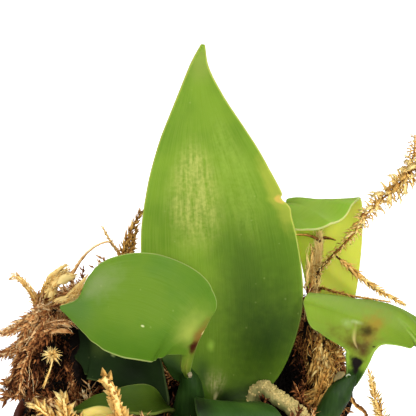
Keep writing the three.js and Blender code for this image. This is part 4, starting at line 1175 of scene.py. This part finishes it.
def plantTree(pieces):  # what the moss must not grow through
    verts, faces = [], []
    for piece in pieces:
        base = len(verts)
        verts += [v.co.copy() for v in piece.data.vertices]
        faces += [[base + k for k in face.vertices] for face in piece.data.polygons]
    return BVHTree.FromPolygons(verts, faces)


plant = plantTree(leaves + stemPieces + [aerialRoot])
mossBrown = mossMaterial("brown")
mossStraw = mossMaterial("straw")
makeCore(mossBrown)

feather = {  # the loose, curly moss of the long strand at the right
    "stem": 0.45, "stemTone": 0.3, "sides": 5, "from": 0.05, "every": 0.12, "leaf": 2.6, "width": 0.34,
    "spread": 60, "bend": 0.7, "sizes": [0.5, 0.55, 0.65, 0.95, 1.45, 1.6, 1.5], "tone": 0.84,
    "toneSpread": 0.18, "stations": ((0.34, 0.9), (0.7, 0.8)),
}
cord = {  # slim strands with their leaves laid close
    "stem": 0.42, "from": 0.05, "every": 0.24, "leaf": 2.2, "width": 0.34, "spread": 26, "bend": 0.12,
    "sizes": [1, 1, 0.9, 0.55], "toneSpread": 0.1,
}
sprig = {  # stout ochre shoots, clad in short leaves
    "stem": 1.35, "stemTone": 0.56, "sides": 8, "every": 0.45, "leaf": 2.4, "width": 0.9, "spread": 10,
    "bend": 0, "sizes": [1, 1.15, 1.1, 0.8, 0.4], "toneSpread": 0.05, "stations": ((0.3, 1.0), (0.66, 0.62)),
}
spurs = {  # the pointed leaves that stand out from them
    "stem": 0.8, "from": 0.1, "every": 0.75, "leaf": 3.6, "width": 0.74, "spread": 46, "bend": -0.1,
    "sizes": [1, 1.15, 1.1, 0.9, 0.7], "toneSpread": 0.05, "plane": (1, 0, 0), "facing": (0, -1, 0.3),
    "stations": ((0.14, 1.0), (0.56, 0.56)),
}
spiky = {  # the rough strands of the moss masses
    "stem": 0.5, "sides": 5, "every": 0.3, "leaf": 2.9, "width": 0.34, "spread": 36, "bend": 0.1,
    "sizes": [0.7, 1, 1, 0.7], "toneSpread": 0.12,
}
crown = {  # broad pale leaves that stand out all round a shoot
    "stem": 0.6, "sides": 6, "from": 0.15, "every": 0.3, "leaf": 3.4, "width": 0.4, "spread": 40,
    "bend": 0.12, "sizes": [1, 1.1, 1, 0.9], "tone": 0.76, "toneSpread": 0.12, "facing": (0, -0.8, 0.6),
    "stations": ((0.2, 1.0), (0.6, 0.66)),
}
fuzzy = {  # soft strands with fine short leaves
    "stem": 0.26, "sides": 3, "every": 0.3, "leaf": 1.7, "width": 0.26, "spread": 38, "bend": 0.2,
    "sizes": [1, 1, 0.8], "toneSpread": 0.09,
}
hanging = {  # the coarse strands of the curtain at the right
    "stem": 0.5, "sides": 5, "every": 0.4, "leaf": 3.2, "width": 0.34, "spread": 34, "bend": -0.05,
    "sizes": [0.8, 1, 1, 0.8], "toneSpread": 0.14,
}
rope = {  # the strands of the mats
    "stem": 0.45, "every": 0.42, "leaf": 3, "width": 0.34, "spread": 34, "bend": 0.2,
    "sizes": [0.7, 1, 1, 0.8], "toneSpread": 0.07, "step": 2.2,
}

looseLock = {  # what holds for every lock of moss that doesn't say otherwise
    "look": spiky, "fibres": 0, "ribbons": 0, "ribbonWidth": (1, 2), "profile": (0.7, 1, 1), "wander": 0.35,
    "stations": 13, "shortest": 4, "long": 8, "splay": 0.5, "sizes": (0.75, 1.25),
    "fibreRadius": (0.07, 0.16), "toneSpread": 0.11, "fibrePaler": 0.05, "ribbonPaler": 0.1,
    "innerShade": 0.2,  # painted shade: how much darker its middle is, where its strands shade each other
    "clear": 0.9,  # how far it keeps from the plant
}


strandRight = {
    "long": [(41, 22.8, 118), (41.2, 20, 122.8), (44.6, 17.5, 128.7), (48.9, 17, 133.8), (52.4, 16, 139),
             (54.6, 15.5, 143.3), (57.9, 15, 147.3), (61.7, 14, 151.8), (65.1, 13, 155.9), (68, 12, 159.6),
             (70.8, 11, 162.3)],
    "tip": [(65.8, 12.6, 156.6), (66.8, 12.4, 161), (67.4, 12, 166), (67.2, 12, 169.4)],
    "branch": [(46.4, 17.3, 129.4), (50.5, 16, 126.1), (54.1, 15, 123.3), (58.9, 14, 119.8),
               (63.1, 13, 117.7), (66.6, 12, 115.8)],
    "thin": [(41, 22.8, 114), (42.2, 20, 117.6), (44.4, 16.4, 118.6), (48.6, 14.8, 118.2), (53, 13.8, 117.6),
             (58, 13, 117.2), (62.4, 12, 116.8)],
    "locks": [  # the upright one, and a thinner one beside it
        {"line": [(40.1, 20, 113.7), (40.6, 21, 118.2), (41.1, 21.6, 123.6), (41.3, 22, 129.3),
                  (41.2, 22, 133.9)],
         "strands": 14, "fibres": 4, "ribbons": 4, "wide": 1.5, "tone": 1.12, "toneSpread": 0.14, "innerShade": 0,
         "wander": 0.2, "profile": (1.7, 1.1, 0.7, 0.4), "long": 12, "splay": 0.4},
        {"line": [(37.9, 20, 116.4), (38.8, 21, 120.5), (39.3, 21.6, 124.9), (40.1, 22, 129.3)],
         "strands": 6, "fibres": 4, "ribbons": 3, "ribbonWidth": (0.7, 1.2), "wide": 0.8, "tone": 1,
         "innerShade": 0.05, "wander": 0.25, "splay": 0.6},
    ],
    "twigs": [[(42, 22.6, 132), (39, 22.2, 133.8), (36, 22, 134.4), (34, 21.8, 134.2)],
              [(42.4, 22.6, 133), (44, 22.2, 133.2), (46.6, 21.8, 132.6)]],
    "twigRadii": [0.55, 0.4, 0.2], "seed": 31,
}


def makeStrandRight():
    draw = random.Random(strandRight["seed"])
    bag = newBag()
    addStrand(bag, strandRight["long"], feather, draw)
    addStrand(bag, strandRight["tip"], dict(feather, sizes=[1.1, 1, 0.7]), draw, 0.9)
    branch = dict(cord, every=0.16, leaf=3, spread=28, tone=0.74, stemTone=0.3)
    addStrand(bag, strandRight["branch"], branch, draw)
    addStrand(bag, strandRight["thin"], dict(cord, leaf=1.7, tone=0.62, stemTone=0.35), draw)
    for lock in strandRight["locks"]:
        addLock(bag, dict(lock, look=fuzzy, clear=0.3), draw)
    for line in strandRight["twigs"]:
        addTube(bag, evenLine(line, 10), strandRight["twigRadii"], 6, 0.12, 0.2, draw)
    makePiece("strandRight", bag, mossStraw, ["strand_right"])


strandsLeft = {
    "hook": [(-36, -1, 108), (-40, -3, 116), (-40.7, -3, 122), (-41.2, -3, 125), (-42.6, -3, 127.7),
             (-44.7, -3, 130.6), (-46.4, -3, 132.2), (-47.6, -3, 132), (-48.4, -3, 131)],
    "hookLock": {"look": fuzzy, "strands": 14, "fibres": 20, "wide": 0.9, "tone": 0.78, "wander": 0.14,
                 "profile": (1.8, 1, 0.6, 0.3), "splay": 0.3},
    "lowShifts": [(0, 0), (1.2, 0.9), (-1.2, -0.8), (0.4, 1.8)],  # in y and z, one for each low strand
    "back": [(-17, 22, 112), (-17.6, 20, 124), (-16.6, 18.6, 131.4), (-14.5, 18.4, 136.7), (-13, 18, 140.1),
             (-11.2, 18, 143.6)],
    "backThin": [(-17, 20.6, 122), (-18.4, 19, 129.8), (-19.7, 18.8, 132), (-21.4, 18.6, 135),
                 (-23, 18.5, 138.4)],
    "backTops": [133, 135.5, 137],  # the heights of the short ones beside them
    "seed": 37,
}


def makeStrandsLeft():
    draw = random.Random(strandsLeft["seed"])
    hook = newBag()
    addStrand(hook, strandsLeft["hook"], dict(cord, leaf=1.8, width=0.3, spread=38, tone=0.7), draw)
    addLock(hook, dict(strandsLeft["hookLock"], line=strandsLeft["hook"][1:-1]), draw)
    makePiece("strandLeftHook", hook, mossStraw, ["strand_left_hook"])
    low = newBag()
    for dy, dz in strandsLeft["lowShifts"]:
        line = [(-32, -5 + dy, 114 + dz), (-37.4, -6 + dy, 121 + dz), (-40.2, -7 + dy, 120.8 + dz),
                (-43.5, -8 + dy, 119.4 + dz), (-47 - dz * 0.4, -8 + dy * 0.6, 117.5 + dz * 0.4),
                (-51 + abs(dy), -8, 116.4 + dz * 0.3)]
        addStrand(low, line, dict(spiky, leaf=3, every=0.2, tone=0.62), draw, 0.9)
    makePiece("strandLeftLow", low, mossBrown, ["strand_left_low"])
    back = newBag()
    wiry = dict(spiky, stem=0.35, tone=0.56)
    longest = dict(wiry, leaf=4.2, spread=34, width=0.26, stemTone=0.2, bend=-0.1)
    addStrand(back, strandsLeft["back"], longest, draw)
    addStrand(back, strandsLeft["backThin"], {**cord, "leaf": 1.9, "tone": 0.66, "from": 0.3}, draw)
    for top in strandsLeft["backTops"]:
        line = [(-15.6, 18.6, 128), (-14.6, 18.2, (128 + top) / 2), (-13.8 + 0.3 * (top - 135), 18, top)]
        addStrand(back, line, dict(wiry, leaf=3.2, every=0.4), draw)
    makePiece("strandBackLeft", back, mossStraw, ["strand_back_left"])


star = {
    "line": [(-36, -14, 96), (-38, -19, 103.4), (-37.2, -20, 107.2), (-35.9, -20, 111), (-35.2, -20, 113.8),
             (-35.2, -20, 115.6)],
    "points": 40, "tone": 0.76, "seed": 41,
    "strands": 3, "radii": [0.12, 0.17, 0.2], "apart": 1.5, "wander": 0.06,
    "hairs": 90, "hairRadius": 0.07, "hairReach": (0.5, 1.1), "hairsFrom": 10,
    "needles": 130, "reach": (1.4, 3.6), "radius": 0.11, "droop": 0.12,
}


def makeStar():
    draw = random.Random(star["seed"])
    bag = newBag()
    count, tone = star["points"], star["tone"]
    line = evenLine(star["line"], count)
    loose = np.linspace(1, 0, count)[:, None] ** 2
    for k in range(star["strands"]):
        shift = np.array([star["apart"] * (k - star["strands"] / 2), draw.gauss(0, 0.4), 0.3 * k])
        stray = np.cumsum(drawn(count * 3, lambda: draw.gauss(0, star["wander"])).reshape(count, 3), axis=0)
        addTube(bag, line + (shift + stray) * loose, star["radii"], 6, tone - 0.06, 0.15, draw)
    for _ in range(star["hairs"]):
        foot = line[draw.randrange(star["hairsFrom"], count)]
        heading = unit(np.array([draw.gauss(0, 1), draw.gauss(0, 1), draw.gauss(0.5, 0.5)]))
        hair = [foot, foot + heading * 0.6, foot + heading * draw.uniform(*star["hairReach"]) + (0, 0, 0.2)]
        addFibre(bag, hair, star["hairRadius"], draw.gauss(tone, 0.06), 4)
    for _ in range(star["needles"]):
        heading = unit(np.array([draw.gauss(0, 1), draw.gauss(0, 1), draw.gauss(0.15, 1)]))
        reach = draw.uniform(*star["reach"])
        tip = heading * reach - (0, 0, star["droop"] * reach)
        needle = line[-1] + np.array([(0, 0, 0), heading * reach * 0.6, tip])
        addTube(bag, needle, [star["radius"], star["radius"] * 0.8, 0.02], 3, draw.gauss(tone, 0.07))
    makePiece("strandLeftStar", bag, mossStraw, ["strand_left_star"])


sprigs = {
    "front": [  # line, size, tone
        ([(-14.6, -32, 90), (-15.2, -34, 99), (-16.2, -34, 106.7), (-17.2, -34, 110.8), (-18.2, -34, 114),
          (-20, -34, 116)], 1, 0.5),
        ([(-13.6, -33, 92), (-14.8, -34, 100), (-14.2, -34, 103)], 0.8, 0.48)],
    "overRim": [(46, -22, 90.4), (52, -22.4, 90.6), (56, -20, 90), (58.4, -18, 92), (57.2, -18, 96.5),
                (55.6, -18, 101), (54.6, -18, 105.2), (53.9, -18, 108.7)],
    "twig": [(50, -19, 91), (53.4, -18, 93.4), (52.7, -18, 96.8), (50.3, -18, 98.8), (49.1, -18, 101)],
    "atLeft": [  # line, size
        ([(-31, -29, 95), (-34.4, -30, 100.4), (-37, -30, 103.2), (-39.4, -30, 105.4)], 1),
        ([(-30.6, -30, 96), (-30.8, -31, 102), (-31, -31, 105.6), (-31.4, -31, 108)], 1.15),
        ([(-28, -31, 95), (-27.4, -32, 100), (-26.8, -32, 102.4)], 0.9),
        ([(-36, -26, 93), (-39, -27, 97), (-41, -27, 99.4)], 0.8)],
    "byStem": [
        [(38, -7, 90), (39.7, -8, 94.2), (40.7, -9, 99.3), (41.8, -10, 104.6)],
        [(43, -8, 92), (44.2, -9, 97.4), (42.9, -9.5, 101)],
        [(40, -8, 90), (41.4, -9, 94.7), (43.4, -10, 98.6), (44.2, -10, 101)]],
    "twigRadii": [0.4, 0.6, 0.5, 0.7, 0.4], "spursPaler": 0.22, "seed": 43,
}


def makeSprigs():
    draw = random.Random(sprigs["seed"])
    front = newBag()
    for line, size, tone in sprigs["front"]:
        addStrand(front, line, dict(sprig, tone=tone), draw, size)
        addStrand(front, line, dict(spurs, tone=tone + sprigs["spursPaler"]), draw, size)
    makePiece("strandFront", front, mossStraw, ["strand_front"])
    side = newBag()
    rough = dict(spiky, stem=0.6, leaf=3, width=0.32, spread=38, tone=0.8, every=0.13,
                 sizes=[0.6, 0.9, 1.5, 1.3, 1, 0.8, 0.6])
    addStrand(side, sprigs["overRim"], rough, draw)
    addTube(side, evenLine(sprigs["twig"], 24), sprigs["twigRadii"], 6, 0.16, 0.35, draw)
    makePiece("strandRightFront", side, mossStraw, ["strand_right_front"])
    ochre = newBag()
    for line, size in sprigs["atLeft"]:
        addStrand(ochre, line, crown, draw, size)
    slim = dict(spurs, stem=0.4, every=0.8, leaf=4.6, width=0.3, spread=18, tone=0.62)
    for line in sprigs["byStem"]:
        addStrand(ochre, line, slim, draw)
    makePiece("ochreSprigs", ochre, mossStraw)


locks = {
    "maneOuter": {
        "line": [(-36, -4, 122.5), (-40.5, -7, 119.5), (-43.4, -9, 114), (-44.8, -10.5, 107.5),
                 (-44.4, -12, 101)],
        "strands": 18, "fibres": 10, "ribbons": 2, "ribbonWidth": (0.7, 1.4), "wide": 2, "tone": 0.54,
        "wander": 0.4},
    "maneMiddle": {
        "line": [(-36, -8, 121.2), (-39.4, -10.6, 117.7), (-42, -12.4, 113), (-43.4, -14.4, 107.7),
                 (-42.8, -15.6, 101.5)],
        "strands": 20, "fibres": 12, "ribbons": 4, "ribbonWidth": (0.7, 1.6), "wide": 2.4, "tone": 0.58,
        "wander": 0.45},
    "maneInner": {
        "line": [(-36, -11.6, 120.4), (-38, -12.8, 116.8), (-40, -14.6, 112.8), (-40.6, -16.6, 108.1),
                 (-40, -17.6, 101.6)],
        "strands": 10, "fibres": 6, "ribbons": 2, "ribbonWidth": (0.6, 1.2), "wide": 1.3, "tone": 0.46,
        "wander": 0.4},
    "upper": {
        "line": [(-40.6, -3, 119.8), (-38.8, -5, 121.6), (-36.8, -7, 122.2)],
        "strands": 14, "fibres": 16, "wide": 2.2, "tone": 0.68, "long": 6},
    "shelf": {
        "line": [(-41.3, -9, 116.7), (-38.1, -11, 119.6), (-34.5, -13, 121.5), (-31.1, -13.4, 121.1),
                 (-28.4, -12.4, 118.7), (-27, -10.4, 114.9)],
        "look": fuzzy, "strands": 16, "fibres": 14, "ribbons": 8, "ribbonWidth": (0.8, 1.8), "wide": 1.5,
        "tone": 0.66, "innerShade": 0.14, "wander": 0.22, "profile": (1, 1, 0.9, 0.4), "splay": 0.1},
    "tongue": {
        "line": [(-31.6, -13.6, 121.2), (-30, -14, 119.2), (-29, -13.6, 115.9)],
        "look": fuzzy, "strands": 4, "fibres": 10, "ribbons": 5, "wide": 0.8, "tone": 0.74, "wander": 0.12,
        "profile": (1, 1, 0.3), "splay": 0.1},
    "bottom": {
        "line": [(-44, -16, 101.8), (-39.7, -19, 102.2), (-35.7, -20, 102.1), (-31.7, -20, 101.5)],
        "strands": 10, "fibres": 16, "wide": 2, "tone": 0.5},
    "under": {
        "line": [(-37.5, -17, 106.9), (-36.4, -18, 103.6), (-35.4, -18, 99.7)],
        "strands": 8, "fibres": 10, "wide": 1.8, "tone": 0.44},
    "tanLump": {
        "line": [(-42.6, -12, 98), (-45.7, -12, 99.7), (-48.4, -13, 101.3), (-50.6, -13, 102.4)],
        "strands": 14, "fibres": 12, "ribbons": 6, "ribbonWidth": (0.8, 1.6), "wide": 1.4, "tone": 0.58,
        "profile": (1, 1, 0.6), "innerShade": 0.1},
    "twigTuft": {
        "line": [(-44, -9, 114), (-46.6, -9, 112.7), (-48.9, -9, 111.2), (-51.4, -9, 110.3)],
        "strands": 7, "fibres": 4, "wide": 0.5, "tone": 0.5, "profile": (1, 0.6, 0.2), "wander": 0.08,
        "splay": 0.1},
}
arc = {  # the thin filament over the fan
    "line": [(-33.2, 2, 128.4), (-30.6, 3, 130.8), (-28.4, 6, 133.4), (-26.2, 9, 134.8), (-23.8, 12, 135.4),
             (-21, 15, 135), (-19.4, 18, 131.7)],
    "radii": [0.6, 0.42, 0.26], "tone": 0.72, "points": 40, "sides": 6, "lumps": 0.25,
}
fan = [  # the pale, papery moss over the mass at the left: line, ribbons, their width, wide, tone, wander
    ([(-40.6, -3, 120.1), (-39.6, -2, 124.7), (-37.9, -1, 128.4), (-35.1, 1, 130.6), (-32.1, 3, 132.2)],
     7, (1, 2.4), 1, 0.92, 0.12),
    ([(-39.1, -2.5, 122.4), (-37.6, -2, 126), (-35.6, -1, 128.7), (-33.1, 1, 129.7), (-30.4, 3, 129.4)],
     6, (1.2, 2.6), 1.1, 1, 0.14),
    ([(-37.9, -2.5, 123.4), (-37, -2, 126), (-35.9, -1.4, 127.3)], 5, (1.2, 2.6), 0.9, 1.02, 0.12),
    ([(-38.1, -4, 121.9), (-35.2, -3.4, 124.1), (-31.9, -2, 124.7), (-28.8, 0, 126.7), (-26.1, 3, 129.4)],
     7, (1, 2), 1, 0.9, 0.14),
    ([(-41, -5, 119.8), (-39.2, -4, 122.5), (-37, -3, 123.9)], 5, (0.8, 1.6), 1, 0.8, 0.12),
]
fanLock = {"strands": 8, "fibres": 5, "look": fuzzy, "innerShade": 0.02, "splay": 0.25, "long": 10,
           "profile": (0.6, 1, 1, 0.4)}
curtain = [  # the strands that hang at the right: line, strands, tone, wide
    ([(36.7, 4, 114.1), (37.1, 3, 110.1), (36.8, 2, 105.3), (37.2, 1, 100.6)], 5, 0.34, 0.8),
    ([(38.5, 3, 111.4), (39.2, 2, 106), (39.8, 1, 99.9), (40.2, -1, 93.7)], 7, 0.56, 1.1),
    ([(41.1, 2, 111.2), (42, 1, 105.8), (42.4, 0, 100.4), (41.8, -2, 95.5)], 7, 0.66, 1.1),
    ([(43.4, 1, 109.8), (44.3, 0, 105.7), (44.6, -1, 101.6), (44.3, -3, 98.7)], 6, 0.62, 1),
    ([(44.1, -1, 100.3), (45.2, 0, 104.4), (46.7, 1, 107.8)], 5, 0.44, 0.6),
    ([(43.4, 0, 107), (44.5, 0.5, 109.4), (45.7, 1, 111.1)], 5, 0.4, 0.6),
    ([(45, -4, 101.2), (42.7, -5, 98.5), (40.1, -6, 95.1), (37.5, -6, 93.1)], 7, 0.5, 1.2),
    ([(35.5, 5, 104.4), (36.2, 4, 99.7), (37.4, 3, 94.2)], 7, 0.36, 1.4),
]
curtainLock = {"fibres": 10, "look": hanging, "innerShade": 0.1, "splay": 0.4, "long": 9, "toneSpread": 0.16}
lockSeed = 47


def makeLocks():
    draw = random.Random(lockSeed)
    loose = newBag()
    for lock in locks.values():
        addLock(loose, lock, draw)
    addTube(loose, evenLine(arc["line"], arc["points"]), arc["radii"], arc["sides"], arc["tone"],
            arc["lumps"], draw)
    makePiece("mossLocks", loose, mossBrown)
    papery = newBag()
    for line, ribbons, width, wide, tone, wander in fan:
        addLock(papery, dict(fanLock, line=line, ribbons=ribbons, ribbonWidth=width, wide=wide, tone=tone,
                             wander=wander), draw)
    makePiece("mossFan", papery, mossStraw)
    hung = newBag()
    for line, strands, tone, wide in curtain:
        addLock(hung, dict(curtainLock, line=line, strands=strands, tone=tone, wide=wide), draw)
    makePiece("mossCurtain", hung, mossStraw)


mats = {  # between which angles, shares of the way out, number and length of the strands, and tone
    "mossMatLeft": ((130, 235), (0.3, 0.94), 180, (12, 26), 0.42),
    "mossMatFront": ((235, 320), (0.1, 1.0), 200, (10, 24), 0.46),
    "mossMatRight": ((-40, 50), (0.35, 1.02), 190, (12, 26), 0.48),
    "mossMatBack": ((50, 130), (0.2, 1.02), 260, (12, 28), 0.48),
    "mossMatRim": ((132, 186), (0.6, 0.96), 90, (5, 11), 0.44),
}
matRun = {
    "points": 6, "seed": 60, "tries": 6, "sizes": (0.8, 1.3),
    "upright": 0.2,  # the share of strands that stand up
    "standing": (0.5, 0.45), "lying": (0.07, 1),  # how much they climb and how far they run, by their length
    "above": 0.3, "rooted": 1.8, "climbPower": 1.6,
    "sway": 1.1, "turn": 0.32, "clear": 1.5, "toneSpread": 0.13, "patches": 0.2, "patchScale": 0.1,
    "plainHeight": 100,  # the height at which a strand is neither paler nor darker
    "farthest": 51.4,  # from the pot's middle
    "rim": {"between": (155, 215), "radius": 45.5},  # here the pot's rim stays bare
}


def matLine(between, shares, long, draw):
    angle = draw.uniform(*between)
    reach = float(heapReach(angle)) * math.sqrt(draw.uniform(shares[0] ** 2, shares[1] ** 2))
    x, y = reach * math.cos(math.radians(angle)), reach * math.sin(math.radians(angle))
    heading = math.radians(angle) + draw.gauss(0, matRun["sway"])
    length = draw.uniform(*long)
    standing = draw.random() < matRun["upright"]
    climb, pace = matRun["standing"] if standing else matRun["lying"]
    last = matRun["points"] - 1
    line = []
    for k in range(matRun["points"]):
        lift = matRun["above"] + climb * length * (k / last) ** matRun["climbPower"]
        if k == 0:
            lift -= matRun["rooted"]
        line.append((x, y, float(heapHeight(np.float64(x), np.float64(y))) + lift))
        heading += draw.gauss(0, matRun["turn"])
        x += length / last * pace * math.cos(heading)
        y += length / last * pace * math.sin(heading)
    return line


def insideRim(line):
    rim = matRun["rim"]
    for x, y, _ in line:
        bare = rim["between"][0] < math.degrees(math.atan2(y, x)) % 360 < rim["between"][1]
        if math.hypot(x, y) > (rim["radius"] if bare else matRun["farthest"]):
            return False
    return True


def makeMat(name, seed, between, shares, count, long, paleness):
    draw = random.Random(seed)
    bag = newBag()
    made = tries = 0
    while made < count and tries < matRun["tries"] * count:
        tries += 1
        line = matLine(between, shares, long, draw)
        if not insideRim(line) or not clearOf(line, matRun["clear"]):
            continue
        middle = line[2]
        patch = (matRun["patches"] * noise.noise(Vector(middle) * matRun["patchScale"])
                 + bed["paler"] * (middle[2] - matRun["plainHeight"]))
        tone = paleness + draw.gauss(0, matRun["toneSpread"]) + patch
        addStrand(bag, line, dict(rope, tone=tone), draw, draw.uniform(*matRun["sizes"]))
        made += 1
    print(name, "has", made, "strands")
    makePiece(name, bag, mossBrown)


makeStrandRight()
makeStrandsLeft()
makeStar()
makeSprigs()
makeLocks()
for place, (name, area) in enumerate(mats.items()):
    makeMat(name, matRun["seed"] + place, *area)
